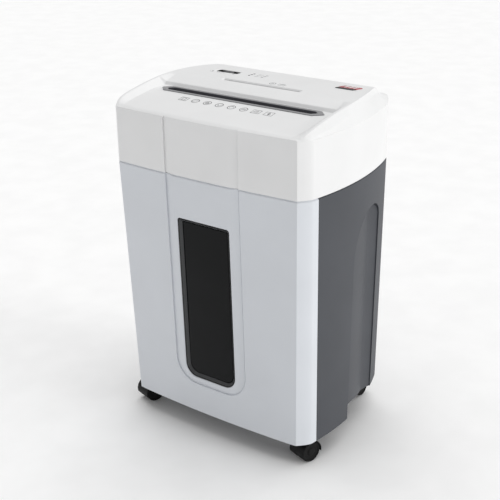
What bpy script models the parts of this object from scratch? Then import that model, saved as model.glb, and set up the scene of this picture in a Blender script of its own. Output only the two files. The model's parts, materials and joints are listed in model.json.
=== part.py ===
"""Office paper shredder on casters: a cutting head on a cabinet with a pull-out waste drawer.

Frame: +Z up, +Y towards the back, X across. Origin on the floor, under the middle of the bounding box.
Sizes below are in millimetres; MM turns them into Blender's metres.
"""

import math

import bmesh
import bpy
from mathutils import Matrix, Vector

MM = 0.001
GAP = 0.35          # between pieces that touch

# Cabinet and head outline, seen from above
HALF_MAX = 166.0    # half width at the widest point of the side arc
SIDE_R = 380.6      # radius of the side arc
Y_FRONT = -116.7    # front face at its corners
SIDE_Y = Y_FRONT + 90.8     # where the sides are widest
BOW = 6.7           # how far the front's middle stands forward of them
BOW_HALF = 160.0
Y_BACK = Y_FRONT + 225.7
CREASE_X = 146.2    # where the front face meets the corner chamfer
CHAMFER_Y = 12.0    # how far back the chamfer runs
REAR_CORNER = 18.0
TAPER_X = 7.35      # the cabinet's sides come in by this much at the bottom
TAPER_Y = 8.65      # and its front leans back by this much

# Heights
Z_BOTTOM = 32.5
Z_SPLIT = 384.6     # head above, cabinet and drawer below
Z_EDGE = 459.6      # top of the head's front and side walls
ARCH_R = 570.0      # the head's top is an arc along Y
ARCH_Y = Y_FRONT + 146.0
ARCH_Z = 483.8
FRONT_ROLL, FRONT_DROP = 25.0, 5.0      # it rolls down to the front edge over this depth, by this much
REAR_ROLL, REAR_DROP = 30.0, 4.8
BAND_DROP = 8.0     # height of the bevelled band along each side of it
WALL = 2.6

# Paper feed
Y_SLOT = Y_FRONT + 78.7
FEED_Z = 471.4      # level of the throat bezel
FEED_SLOPE = 0.145
BEZEL_HALF = 133.0
BEZEL_DEPTH = 24.0
THROAT_HALF = 121.0
THROAT_GAP = 6.0
STEP_BACK = 5.0     # run of the riser behind the throat
RISER_Z = 476.4     # its top, where a gentler slope goes on to the arc
SLOPE_END = Y_FRONT + 118.0
CARD_X, CARD_LEN, CARD_GAP = 2.0, 127.0, 5.2
CARD_Y = Y_FRONT + 124.1
CARD_LEAN = 10.0    # the card chute's foot is this far in front of its mouth
CHUTE_Z0, CHUTE_Z1 = 451.5, 479.9

# Cutting unit, with the shafts along X
Z_CUT = 418.0
SHAFT_SPACING = 38.0
DISC_R, SPACER_R, SHAFT_R = 21.0, 15.0, 6.0
DISC_COUNT, DISC_W, DISC_PITCH = 21, 5.2, 11.2
DISC_POINTS = 12
PLATE_X, PLATE_T = 124.0, 3.0
BUSH_R = 10.0
SHAFT_LEFT = -139.0
SHAFT_RIGHT_FRONT, SHAFT_RIGHT_REAR = 130.0, 139.5     # the rear shaft also carries the drive gear
TIE_ROD_R = 3.5
TIE_RODS = {"tie_rod_front": (Y_SLOT - 39.0, 437.0), "tie_rod_rear": (Y_SLOT + 44.0, 438.5),
            "tie_rod_low": (Y_SLOT + 45.0, 396.0)}

# Gears: module, teeth
SYNC_TEETH = 20
SYNC_MODULE = SHAFT_SPACING / SYNC_TEETH
TRAIN_MODULE = 1.5
DRIVE_TEETH, IDLER_SMALL, IDLER_LARGE, PINION_TEETH = 36, 12, 40, 10
IDLER_ANGLE = math.radians(15.0)
MOTOR_ANGLE = math.radians(-14.4)
BACKLASH = 0.35
SYNC_X = (-138.0, -130.0)
DRIVE_X = (130.0, 138.0)
SMALL_X = (130.0, 140.6)
LARGE_X = (139.8, 146.5)
MOTOR_R = 27.0
MOTOR_LEFT = 6.0    # the can reaches from here to the right frame plate

# Controls on the head's top
SWITCH_X, SWITCH_Y = -82.0, Y_FRONT + 162.1
LENS_X, LENS_PITCH = -43.0, 6.1
BADGE_X, BADGE_Y = 109.5, Y_FRONT + 171.7
BADGE_HALF_X, BADGE_HALF_Y = 16.0, 9.0

# Side grip: a tall scoop in each side panel, level with it at the front and deepest at the back
GRIP_Y0, GRIP_PEAK_Y, GRIP_Y1 = Y_FRONT + 106.0, Y_FRONT + 158.0, Y_FRONT + 185.0
GRIP_PEAK_Z, GRIP_SHOULDER_FRONT, GRIP_SHOULDER_REAR = 336.0, 262.0, 314.0
GRIP_STEP, GRIP_DEPTH = 0.8, 11.0
LEG_Z = 45.0        # behind the grip the cabinet's foot is this high

# Back
SCREW_R, SCREW_RECESS = 3.6, 1.8
BACK_SCREWS = ((-96.0, 66.0), (96.0, 66.0), (-96.0, 366.0), (96.0, 366.0))
GLAND_CENTRE = (-110.0, 404.0)

# Drawer
DOOR_RETURN = 25.0  # how far the drawer front wraps round the sides
WINDOW_HALF, WINDOW_Z0, WINDOW_Z1 = 43.2, 88.2, 325.5
WINDOW_R_LOW, WINDOW_R_TOP = 19.0, 4.0
BIN_HALF, BIN_Z0, BIN_Z1 = 122.0, 50.5, 362.0
BIN_Y0, BIN_Y1 = Y_FRONT + 17.5, Y_FRONT + 213.5

# Casters
WHEEL_R, WHEEL_W, WHEEL_SIDES = 15.0, 10.5, 24
WHEEL_IN = 3.2      # from the middle of the fin to a wheel's inner face
TRAIL = 12.0
BASE_Z = 40.0
# name: swivel axis x, y, and the heading of the wheels from it, in degrees from +X
CASTERS = {
    "front_left": (-140.0, -71.0, -107.0),
    "front_right": (140.0, -71.0, -107.0),
    "rear_left": (-100.0, 94.5, 90.0),
    "rear_right": (100.0, 94.5, 90.0),
}

COLOURS = {  # name: base colour, roughness, metallic
    "shell_white": ((0.86, 0.87, 0.87), 0.45, 0.0),
    "drawer_grey": ((0.74, 0.77, 0.80), 0.45, 0.0),
    "cabinet_dark": ((0.105, 0.11, 0.125), 0.5, 0.0),
    "throat_dark": ((0.07, 0.07, 0.08), 0.4, 0.0),
    "black_plastic": ((0.015, 0.015, 0.016), 0.45, 0.0),
    "smoked": ((0.02, 0.022, 0.024), 0.08, 0.0),
    "badge_red": ((0.45, 0.03, 0.04), 0.35, 0.0),
    "steel": ((0.55, 0.56, 0.58), 0.35, 1.0),
    "gear_nylon": ((0.80, 0.78, 0.70), 0.5, 0.0),
    "board_green": ((0.02, 0.16, 0.07), 0.5, 0.0),
    "bin_grey": ((0.16, 0.17, 0.18), 0.55, 0.0),
    "rubber": ((0.02, 0.02, 0.02), 0.8, 0.0),
}


# ---------------------------------------------------------------- helpers

def clear_scene():
    for obj in list(bpy.data.objects):
        bpy.data.objects.remove(obj)


def material(name):
    found = bpy.data.materials.get(name)
    if found:
        return found
    colour, roughness, metallic = COLOURS[name]
    made = bpy.data.materials.new(name)
    made.use_nodes = True
    shader = made.node_tree.nodes["Principled BSDF"]
    shader.inputs["Base Color"].default_value = (*colour, 1.0)
    shader.inputs["Roughness"].default_value = roughness
    shader.inputs["Metallic"].default_value = metallic
    return made


def add_mesh(name, points, faces, mat=None, origin=(0, 0, 0), smooth=30.0):
    """A mesh object from points in millimetres. Its origin is put at the given point."""
    mesh = bpy.data.meshes.new(name)
    shift = Vector(origin)
    mesh.from_pydata([(Vector(p) - shift) * MM for p in points], [], faces)
    bm = bmesh.new()
    bm.from_mesh(mesh)
    bmesh.ops.recalc_face_normals(bm, faces=bm.faces)
    bm.to_mesh(mesh)
    bm.free()
    obj = bpy.data.objects.new(name, mesh)
    obj.location = shift * MM
    bpy.context.scene.collection.objects.link(obj)
    if mat:
        mesh.materials.append(material(mat))
        mesh.shade_smooth()
        mesh.set_sharp_from_angle(angle=math.radians(smooth))
    else:
        obj.hide_render = True
        obj.display_type = "WIRE"
    return obj


def loft(name, rings, mat=None, origin=(0, 0, 0)):
    """A closed solid through rings that have the same number of points."""
    count = len(rings[0])
    points = [p for ring in rings for p in ring]
    faces = [tuple(range(count)), tuple(range((len(rings) - 1) * count, len(rings) * count))]
    for r in range(len(rings) - 1):
        for i in range(count):
            j = (i + 1) % count
            faces.append((r * count + i, r * count + j, (r + 1) * count + j, (r + 1) * count + i))
    return add_mesh(name, points, faces, mat, origin)


def box(name, low, high, mat=None, origin=(0, 0, 0)):
    (x0, y0, z0), (x1, y1, z1) = low, high
    ring = [(x0, y0), (x1, y0), (x1, y1), (x0, y1)]
    return loft(name, [[(x, y, z) for x, y in ring] for z in (z0, z1)], mat, origin)


def prism_x(name, outline, x0, x1, mat=None, origin=(0, 0, 0)):
    """An outline of (y, z) points carried from x0 to x1."""
    return loft(name, [[(x, y, z) for y, z in outline] for x in (x0, x1)], mat, origin)


def prism_y(name, outline, y0, y1, mat=None, lean=True):
    """An outline of (x, z) points carried from y0 to y1, and leant back with the drawer front."""
    rings = [[(x, y + (front_lean(z) if lean else 0.0), z) for x, z in outline] for y in (y0, y1)]
    return loft(name, rings, mat)


def prism_z(name, outline, z0, z1, mat=None):
    return loft(name, [[(x, y, z) for x, y in outline] for z in (z0, z1)], mat)


def circle(radius, sides, centre=(0.0, 0.0), turn=0.0):
    step = 2 * math.pi / sides
    return [(centre[0] + radius * math.cos(turn + i * step), centre[1] + radius * math.sin(turn + i * step))
            for i in range(sides)]


def tube_x(name, profile, centre, mat, sides=16, origin=None):
    """A solid turned about a line along X: the profile lists (x, radius)."""
    rings = [[(x, y, z) for y, z in circle(r, sides, centre)] for x, r in profile]
    return loft(name, rings, mat, origin or (0, *centre))


def boolean(target, other, operation="DIFFERENCE"):
    made = target.modifiers.new(operation.lower(), "BOOLEAN")
    made.operation = operation
    made.object = other
    return target


def rounded_rectangle(half_x, z0, z1, radius_low, radius_top, steps=5):
    """(x, z) points of an upright rectangle with its own corner radii below and above."""
    points = []
    corners = ((half_x, z0, radius_low, -90), (half_x, z1, radius_top, 0),
               (-half_x, z1, radius_top, 90), (-half_x, z0, radius_low, 180))
    for x, z, r, start in corners:
        cx = x - math.copysign(r, x)
        cz = z + r if z == z0 else z - r
        for i in range(steps + 1):
            a = math.radians(start + 90.0 * i / steps)
            points.append((cx + r * math.cos(a), cz + r * math.sin(a)))
    return points


# ---------------------------------------------------------------- the outline from above

def taper(z):
    """0 at the head's lower edge and above, 1 at the cabinet's bottom."""
    return max(0.0, min(1.0, (Z_SPLIT - z) / (Z_SPLIT - Z_BOTTOM)))


def front_lean(z):
    return TAPER_Y * taper(z)


def side_x(y, z):
    return HALF_MAX - TAPER_X * taper(z) - (y - SIDE_Y) ** 2 / (2 * SIDE_R)


def front_y(x, z):
    return Y_FRONT + front_lean(z) - BOW * (1 - (x / BOW_HALF) ** 2)


def right_edge(z, side_steps=8, corner_steps=4, front=True):
    """Points from the crease at the front, round the right side, to the end of the rear corner."""
    start_y = Y_FRONT + front_lean(z) + CHAMFER_Y
    end_y = Y_BACK - REAR_CORNER
    points = []
    if front:
        points.append((CREASE_X - TAPER_X * taper(z), front_y(CREASE_X, z)))
    for i in range(side_steps + 1):
        y = start_y + (end_y - start_y) * i / side_steps
        points.append((side_x(y, z), y))
    slope = (end_y - SIDE_Y) / SIDE_R
    knee = Vector((points[-1][0] - slope * REAR_CORNER, Y_BACK))
    first, last = Vector(points[-1]), knee - Vector((REAR_CORNER, 0))
    for i in range(1, corner_steps + 1):
        t = i / corner_steps
        p = first * (1 - t) ** 2 + knee * 2 * t * (1 - t) + last * t ** 2
        points.append(tuple(p))
    return points


def offset_path(path, distance):
    """An open path of (x, y) moved sideways, to the left of its direction for a positive distance."""
    moved = []
    for i, p in enumerate(path):
        before = Vector(path[max(i - 1, 0)])
        after = Vector(path[min(i + 1, len(path) - 1)])
        here = Vector(p)
        normals = []
        for a, b in ((before, here), (here, after)):
            d = b - a
            if d.length > 1e-6:
                normals.append(Vector((-d.y, d.x)).normalized())
        mean = (normals[0] + normals[-1]).normalized()
        moved.append(tuple(here + mean * distance / max(0.5, mean.dot(normals[0]))))
    return moved


def wall_from_paths(name, outer_low, outer_high, inner_low, inner_high, z_low, z_high, mat):
    """A closed wall between open outer and inner paths, which differ at its foot and its top."""
    rings = []
    for outer, inner, z in ((outer_low, inner_low, z_low), (outer_high, inner_high, z_high)):
        rings.append([(x, y, z) for x, y in list(outer) + list(reversed(inner))])
    return loft(name, rings, mat)


# ---------------------------------------------------------------- the head

def arch_z(y):
    """The head's top along Y: an arc that rolls down at the front edge and at the back."""
    front = max(0.0, 1 - (y - Y_FRONT) / FRONT_ROLL)
    rear = max(0.0, 1 - (Y_BACK - y) / REAR_ROLL)
    return ARCH_Z - (y - ARCH_Y) ** 2 / (2 * ARCH_R) - FRONT_DROP * front ** 2 - REAR_DROP * rear ** 2


def feed_z(y):
    """The sloping surface that paper is laid on, in front of the throat and level with its bezel."""
    return min(FEED_Z, Z_EDGE + 1.2 + FEED_SLOPE * (y - Y_FRONT + BOW))


def middle_z(y):
    """The top between the side bevels: the feed surface, the riser behind the throat and the slope."""
    start = Y_SLOT + BEZEL_DEPTH / 2 + 0.5
    if y <= start:
        return feed_z(y)
    if y < start + STEP_BACK:
        return FEED_Z + (RISER_Z - FEED_Z) * (y - start) / STEP_BACK
    share = min(1.0, (y - start - STEP_BACK) / (SLOPE_END - start - STEP_BACK))
    return RISER_Z + (ARCH_Z - RISER_Z) * share


def band_top_x(y):
    """Where the top ends and the bevelled band begins."""
    back = max(0.0, y - Y_FRONT - 85.0)
    front = max(0.0, 1 - (y - Y_FRONT) / FRONT_ROLL)
    return 154.0 - 0.0017 * back ** 2 - 6.0 * front ** 2


def band_foot_x(y):
    """Where the band meets the side shoulder."""
    back = max(0.0, y - Y_FRONT - 40.0)
    return min(side_x(y, Z_SPLIT) - 0.8, 163.5 - 0.00115 * back ** 2)


def head_cover():
    """The white top shell: walls, side shoulders, arched top with the feed recess, and its openings."""
    slot_front, slot_back = Y_SLOT - BEZEL_DEPTH / 2 - 0.5, Y_SLOT + BEZEL_DEPTH / 2 + 0.5
    rows = [Y_FRONT + 14, Y_FRONT + 32, slot_front - 14, slot_front, slot_back,
            slot_back + STEP_BACK, SLOPE_END, ARCH_Y, ARCH_Y + 26.0, Y_BACK - REAR_CORNER]
    outer = right_edge(Z_SPLIT, 1, 4)
    rear = outer[-4:]
    outline = [outer[0]] + [(side_x(y, Z_SPLIT), y) for y in rows] + rear
    columns = [-1.0, -0.92, -0.87, -0.66, -0.33, 0.0, 0.33, 0.66, 0.87, 0.92, 1.0]
    levels = len(outline)

    def top_row(j):
        x_edge, y_edge = outline[j]
        if j == 0:
            return CREASE_X - 1.5, None
        share = max(0.0, (y_edge - rear[0][1]) / (Y_BACK - rear[0][1]))
        y = y_edge - 2.5 * share
        return min(band_top_x(y), x_edge - 2.5 - 4.0 * share), y

    def top_point(j, c):
        x_edge, y = top_row(j)
        x = c * x_edge
        if j == 0:
            y = front_y(x, Z_SPLIT) + 1.8
            return x, y, feed_z(y)
        z = arch_z(y)
        if abs(c) < 0.9:
            z = min(z, middle_z(y))
        return x, y, z

    def foot_point(j, sign):
        x_edge, y_edge = outline[j]
        if j == 0:
            return sign * (x_edge - 0.6), y_edge + 0.8, Z_EDGE + 0.7
        _, y = top_row(j)
        x = min(band_foot_x(y_edge), x_edge - 1.2)
        back = y_edge - 0.5 * (y_edge - y)
        return sign * x, back, max(arch_z(y) - BAND_DROP, Z_EDGE + 1.5)

    def edge_point(j, sign):
        x_edge, y_edge = outline[j]
        rise = 2.0 * (y_edge - Y_FRONT) / 225.0
        back = max(0.0, (y_edge - rear[0][1] + 8) / REAR_CORNER)
        return sign * x_edge, y_edge, Z_EDGE + rise + 7.0 * min(1.0, back)

    points, faces, index = [], [], {}

    def put(key, p):
        index[key] = len(points)
        points.append(p)

    for j in range(levels):
        for i, c in enumerate(columns):
            put(("top", j, i), top_point(j, c))
    last = len(columns) - 1
    loop = [("f", i) for i in range(last)] + [("r", j) for j in range(levels - 1)]
    loop += [("b", i) for i in range(last, 0, -1)] + [("l", j) for j in range(levels - 1, 0, -1)]
    for kind, n in loop:
        if kind in "fb":
            c = columns[n]
            j = 0 if kind == "f" else levels - 1
            x = c * outline[j][0]
            if kind == "f":
                y = front_y(x, Z_SPLIT)
                edge, foot = (x, y, Z_EDGE), (x, y + 0.7, Z_EDGE + 0.8)
            else:
                edge, foot = (x, Y_BACK, edge_point(j, 1)[2]), (x, Y_BACK - 1.0, edge_point(j, 1)[2] + 1.6)
            top = index[("top", j, n)]
        else:
            sign = 1 if kind == "r" else -1
            edge, foot = edge_point(n, sign), foot_point(n, sign)
            top = index[("top", n, last if kind == "r" else 0)]
        key = (kind, n)
        put(("foot", key), foot)
        put(("edge", key), edge)
        put(("base", key), (edge[0], edge[1], Z_SPLIT))
        index[("cap", key)] = top
    for j in range(levels - 1):
        for i in range(last):
            faces.append((index[("top", j, i)], index[("top", j, i + 1)],
                          index[("top", j + 1, i + 1)], index[("top", j + 1, i)]))
    for a, b in zip(loop, loop[1:] + loop[:1]):
        for upper, lower in (("cap", "foot"), ("foot", "edge"), ("edge", "base")):
            faces.append((index[(upper, a)], index[(lower, a)], index[(lower, b)], index[(upper, b)]))
    cover = add_mesh("head_cover", points, faces, "shell_white")
    shell = cover.modifiers.new("wall", "SOLIDIFY")
    shell.thickness = WALL * MM
    shell.offset = -1
    shell.use_even_offset = False
    cutters = [
        slot_outline_prism("throat_cut", BEZEL_HALF - 2.0, BEZEL_DEPTH - 4.0, 455.0, 490.0),
        box("card_cut", (CARD_X - CARD_LEN / 2, CARD_Y - CARD_GAP / 2, 455),
            (CARD_X + CARD_LEN / 2, CARD_Y + CARD_GAP / 2, 490)),
        box("switch_cut", (SWITCH_X - 19, SWITCH_Y - 6.5, 455), (SWITCH_X + 19, SWITCH_Y + 6.5, 490)),
    ]
    for n in range(3):
        cutters.append(prism_z(f"lens_cut_{n}", circle(1.9, 8, lens_centre(n)), 455, 490))
    for cutter in cutters:
        boolean(cover, cutter)


def lens_centre(n):
    return LENS_X, SWITCH_Y - 4.0 + n * LENS_PITCH


def slot_outline(half, depth):
    """A long hexagon: straight sides, pointed ends."""
    point = depth / 2
    y0, y1 = Y_SLOT - depth / 2, Y_SLOT + depth / 2
    return [(-half, Y_SLOT), (-half + point, y0), (half - point, y0),
            (half, Y_SLOT), (half - point, y1), (-half + point, y1)]


def slot_outline_prism(name, half, depth, z0, z1, mat=None):
    return prism_z(name, slot_outline(half, depth), z0, z1, mat)


def throat_bezel():
    """The funnel that paper goes through: a rim on the cover and sloping walls down to a narrow gap."""
    lip = FEED_Z + GAP
    rings = [
        [(x, y, 446.0) for x, y in slot_outline(THROAT_HALF + 3.5, THROAT_GAP + 7.0)],
        [(x, y, FEED_Z - WALL - 1.4) for x, y in slot_outline(BEZEL_HALF - 3.0, BEZEL_DEPTH - 6.0)],
        [(x, y, lip) for x, y in slot_outline(BEZEL_HALF - 3.0, BEZEL_DEPTH - 6.0)],
        [(x, y, lip) for x, y in slot_outline(BEZEL_HALF, BEZEL_DEPTH)],
        [(x, y, lip + 0.8) for x, y in slot_outline(BEZEL_HALF - 0.4, BEZEL_DEPTH - 0.8)],
    ]
    bezel = loft("throat_bezel", rings, "throat_dark")
    funnel = loft("throat_funnel_cut", [
        [(x, y, 440.0) for x, y in slot_outline(THROAT_HALF, THROAT_GAP)],
        [(x, y, 455.0) for x, y in slot_outline(THROAT_HALF, THROAT_GAP)],
        [(x, y, 476.0) for x, y in slot_outline(THROAT_HALF + 5.5, THROAT_GAP + 12.0)],
    ])
    boolean(bezel, funnel)


def card_chute():
    """A guide under the card slot, which leans forward to bring cards to the cutters."""
    x0, x1 = CARD_X - CARD_LEN / 2 - 2.5, CARD_X + CARD_LEN / 2 + 2.5

    def leaning(name, x_in, half_y, z0, z1, mat=None):
        rings = []
        for z in (z0, z1):
            y = CARD_Y - CARD_LEAN * (CHUTE_Z1 - z) / (CHUTE_Z1 - CHUTE_Z0)
            rings.append([(x0 + x_in, y - half_y, z), (x1 - x_in, y - half_y, z),
                          (x1 - x_in, y + half_y, z), (x0 + x_in, y + half_y, z)])
        return loft(name, rings, mat)

    chute = leaning("card_chute", 0.0, 5.2, CHUTE_Z0, CHUTE_Z1, "throat_dark")
    boolean(chute, leaning("card_chute_cut", 2.5, CARD_GAP / 2, CHUTE_Z0 - 5.0, CHUTE_Z1 + 5.0))


def controls():
    """The slide switch in its recess, the indicator lenses on one light guide, the board and the badge."""
    top = arch_z(SWITCH_Y)
    bezel = box("switch_bezel", (SWITCH_X - 18.6, SWITCH_Y - 6.1, top - 8.0),
                (SWITCH_X + 18.6, SWITCH_Y + 6.1, top - 0.6), "black_plastic")
    boolean(bezel, box("switch_bezel_cut", (SWITCH_X - 17.2, SWITCH_Y - 4.8, top - 5.0),
                       (SWITCH_X + 17.2, SWITCH_Y + 4.8, top + 5.0)))
    profile = [(-7.0, top - 4.6), (7.0, top - 4.6), (7.0, top - 1.2), (4.0, top + 0.2),
               (1.5, top - 0.8), (-1.5, top - 0.8), (-4.0, top + 0.2), (-7.0, top - 1.2)]
    rings = [[(SWITCH_X + x, y, z) for x, z in profile] for y in (SWITCH_Y - 4.4, SWITCH_Y + 4.4)]
    loft("switch_knob", rings, "throat_dark", (SWITCH_X, SWITCH_Y, top))
    lens = box("indicator_lens", (LENS_X - 4, SWITCH_Y - 8, top - 8.0),
               (LENS_X + 4, SWITCH_Y + 15, top - 5.5), "smoked")
    for n in range(3):
        post = prism_z(f"lens_post_{n}", circle(1.5, 8, lens_centre(n)), top - 6.5,
                       arch_z(SWITCH_Y + 3) - 0.2)
        boolean(lens, post, "UNION")
    box("control_board", (SWITCH_X - 26, SWITCH_Y - 10, top - 11.5),
        (LENS_X + 8, SWITCH_Y + 17, top - 9.9), "board_green")
    x0, x1 = BADGE_X - BADGE_HALF_X, BADGE_X + BADGE_HALF_X
    y0, y1 = BADGE_Y - BADGE_HALF_Y, BADGE_Y + BADGE_HALF_Y
    outline = [(x0, y0), (x1, y0), (x1, y1), (x0, y1)]
    rings = [[(x, y, arch_z(y) + lift) for x, y in outline] for lift in (GAP, GAP + 1.0)]
    loft("badge", rings, "badge_red")


def head_base():
    """The tray that closes the head from below and carries the cutting unit, open under the cutters."""
    edge = offset_path(right_edge(Z_SPLIT, 8, 4), WALL + 1.2)
    outline = edge + [(-x, y) for x, y in reversed(edge)]
    base = prism_z("head_base", outline, Z_SPLIT + 0.2, Z_SPLIT + 2.8, "bin_grey")
    boolean(base, box("outlet_cut", (-119, Y_SLOT - 41, 380), (119, Y_SLOT + 41, 395)))


# ---------------------------------------------------------------- the cutting unit

FRONT_AXIS = (Y_SLOT - SHAFT_SPACING / 2, Z_CUT)
REAR_AXIS = (Y_SLOT + SHAFT_SPACING / 2, Z_CUT)
IDLER_REACH = TRAIN_MODULE * (DRIVE_TEETH + IDLER_SMALL) / 2
IDLER_AXIS = (REAR_AXIS[0] + IDLER_REACH * math.cos(IDLER_ANGLE),
              REAR_AXIS[1] + IDLER_REACH * math.sin(IDLER_ANGLE))
MOTOR_REACH = TRAIN_MODULE * (IDLER_LARGE + PINION_TEETH) / 2
MOTOR_AXIS = (IDLER_AXIS[0] + MOTOR_REACH * math.cos(MOTOR_ANGLE),
              IDLER_AXIS[1] + MOTOR_REACH * math.sin(MOTOR_ANGLE))


def cutter(name, axis, first_disc, shaft_right):
    """One cutting cylinder: hooked discs and spacers on a shaft, lofted ring by ring."""
    def ring(x, radius, turn=0.0, hooked=False):
        points = []
        for i in range(DISC_POINTS):
            a = turn + 2 * math.pi * i / DISC_POINTS
            r = radius * (1.0 if not hooked or i % 4 == 0 else 0.93 + 0.02 * (i % 4))
            points.append((x, axis[0] + r * math.cos(a), axis[1] + r * math.sin(a)))
        return points

    rings = [ring(SHAFT_LEFT, SHAFT_R), ring(first_disc - 2.0, SHAFT_R), ring(first_disc - 1.0, SPACER_R)]
    for n in range(DISC_COUNT):
        x = first_disc + n * DISC_PITCH
        turn = 0.16 * n
        rings += [ring(x, SPACER_R, turn), ring(x, DISC_R, turn, True),
                  ring(x + DISC_W, DISC_R, turn, True), ring(x + DISC_W, SPACER_R, turn)]
    end = first_disc + (DISC_COUNT - 1) * DISC_PITCH + DISC_W
    rings += [ring(end + 1.0, SPACER_R), ring(end + 2.0, SHAFT_R), ring(shaft_right, SHAFT_R)]
    loft(name, rings, "steel", (0, *axis))


def stripper(name, axis, side, first_disc):
    """A comb whose fingers reach between one cutter's discs, to lift the strips off."""
    reach = axis[0] + side * (SPACER_R + 1.5)
    back = axis[0] + side * (DISC_R + 3.0)
    low, high = sorted((back, back + side * 5.0))
    comb = box(name, (-119.0, low, Z_CUT - 8), (119.0, high, Z_CUT + 10), "black_plastic")
    finger_low, finger_high = sorted((reach, back + side * 1.0))
    finger_w = DISC_PITCH - DISC_W - 1.2
    teeth, faces = [], []
    for n in range(DISC_COUNT - 1):
        x0 = first_disc + n * DISC_PITCH + DISC_W + 0.6
        x1 = x0 + finger_w
        outline = [(x0, finger_low), (x1, finger_low), (x1, finger_high), (x0, finger_high)]
        corners = [(x, y, z) for z in (Z_CUT - 5, Z_CUT + 6) for x, y in outline]
        b = len(teeth)
        teeth += corners
        faces += [(b, b + 3, b + 2, b + 1), (b + 4, b + 5, b + 6, b + 7), (b, b + 1, b + 5, b + 4),
                  (b + 1, b + 2, b + 6, b + 5), (b + 2, b + 3, b + 7, b + 6), (b + 3, b, b + 4, b + 7)]
    boolean(comb, add_mesh(name + "_fingers", teeth, faces), "UNION")


def gear_outline(teeth, module, axis, toward):
    """(y, z) points of a spur gear with a tooth centred on the angle toward. Flanks run straight
    between points of the involute, which keeps them inside it."""
    pitch_r = module * teeth / 2
    base_r = pitch_r * math.cos(math.radians(20))
    root_r, tip_r = pitch_r - 1.25 * module, pitch_r + 0.85 * module

    def half_angle(r):
        pressure = math.acos(min(1.0, base_r / max(r, base_r)))
        at_pitch = math.radians(20)
        involute = (math.tan(at_pitch) - at_pitch) - (math.tan(pressure) - pressure)
        return math.pi / (2 * teeth) - BACKLASH / (2 * pitch_r) + involute

    points = []
    for n in range(teeth):
        centre = toward + 2 * math.pi * n / teeth
        for r, sign in ((root_r, -1), (tip_r, -1), (tip_r, 1), (root_r, 1)):
            a = centre + sign * half_angle(r)
            points.append((axis[0] + r * math.cos(a), axis[1] + r * math.sin(a)))
    return points


def gear(name, teeth, module, axis, toward, x0, x1, bore, mat="gear_nylon"):
    made = prism_x(name, gear_outline(teeth, module, axis, toward), x0, x1, mat, (0, *axis))
    if bore:
        boolean(made, prism_x(name + "_bore", circle(bore, 12, axis), x0 - 5, x1 + 5))
    return made


def plate_with_holes(name, x0, y1, holes):
    y0 = FRONT_AXIS[0] - 26
    low = Z_SPLIT + 3.2
    outline = [(y0, low), (y1, low), (y1, 446.0), (Y_SLOT + 32, 446.0), (Y_SLOT + 22, 444.0), (y0, 444.0)]
    plate = prism_x(name, outline, x0, x0 + PLATE_T, "steel")
    for n, (axis, radius) in enumerate(holes):
        boolean(plate, prism_x(f"{name}_hole_{n}", circle(radius, 16, axis), x0 - 5, x0 + 10))


def cutting_unit():
    first = -(DISC_COUNT * DISC_PITCH) / 2 + 0.4
    cutter("cutter_front", FRONT_AXIS, first, SHAFT_RIGHT_FRONT)
    cutter("cutter_rear", REAR_AXIS, first + DISC_PITCH / 2, SHAFT_RIGHT_REAR)
    stripper("stripper_front", FRONT_AXIS, -1, first)
    stripper("stripper_rear", REAR_AXIS, 1, first + DISC_PITCH / 2)
    bush_holes = [(FRONT_AXIS, BUSH_R + GAP), (REAR_AXIS, BUSH_R + GAP)]
    plate_with_holes("frame_plate_left", -PLATE_X - PLATE_T, Y_SLOT + 51.0, bush_holes)
    plate_with_holes("frame_plate_right", PLATE_X, MOTOR_AXIS[0] + 30.0, bush_holes + [(MOTOR_AXIS, 9.5)])
    for row, axis in (("front", FRONT_AXIS), ("rear", REAR_AXIS)):
        for side, x0 in (("left", -PLATE_X - PLATE_T - 1.0), ("right", PLATE_X - 1.0)):
            name = f"bush_{row}_{side}"
            bush = tube_x(name, [(x0, BUSH_R), (x0 + 5.0, BUSH_R)], axis, "gear_nylon")
            boolean(bush, prism_x(name + "_bore", circle(SHAFT_R + 0.5, 12, axis), x0 - 5, x0 + 10))
    for name, centre in TIE_RODS.items():
        tube_x(name, [(-PLATE_X + GAP, TIE_ROD_R), (PLATE_X - GAP, TIE_ROD_R)], centre, "steel", 8)


def gear_train():
    """A pair that keeps the cutters in step, and the motor's pinion, a double idler and the drive gear."""
    back = math.pi
    bore = SHAFT_R + GAP
    gear("sync_gear_front", SYNC_TEETH, SYNC_MODULE, FRONT_AXIS, 0.0, *SYNC_X, bore)
    gear("sync_gear_rear", SYNC_TEETH, SYNC_MODULE, REAR_AXIS, back + math.pi / SYNC_TEETH, *SYNC_X, bore)
    gear("drive_gear", DRIVE_TEETH, TRAIN_MODULE, REAR_AXIS, IDLER_ANGLE, *DRIVE_X, bore)
    small = gear("idler_gear", IDLER_SMALL, TRAIN_MODULE, IDLER_AXIS,
                 IDLER_ANGLE + back + math.pi / IDLER_SMALL, *SMALL_X, 0)
    large = gear("idler_large", IDLER_LARGE, TRAIN_MODULE, IDLER_AXIS, MOTOR_ANGLE, *LARGE_X, 0, None)
    boolean(small, large, "UNION")
    boolean(small, prism_x("idler_bore", circle(3.6, 12, IDLER_AXIS), 120, 150))
    tube_x("idler_pin", [(PLATE_X + PLATE_T + GAP, 3.2), (148.0, 3.2)], IDLER_AXIS, "steel", 12)
    pinion = gear("motor_pinion", PINION_TEETH, TRAIN_MODULE, MOTOR_AXIS,
                  MOTOR_ANGLE + back + math.pi / PINION_TEETH, *LARGE_X, 0, "steel")
    shaft = tube_x("pinion_shaft", [(PLATE_X - 8, 4.0), (140.5, 4.0)], MOTOR_AXIS, "steel", 12)
    shaft.hide_render = True
    shaft.display_type = "WIRE"
    boolean(pinion, shaft, "UNION")


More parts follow.
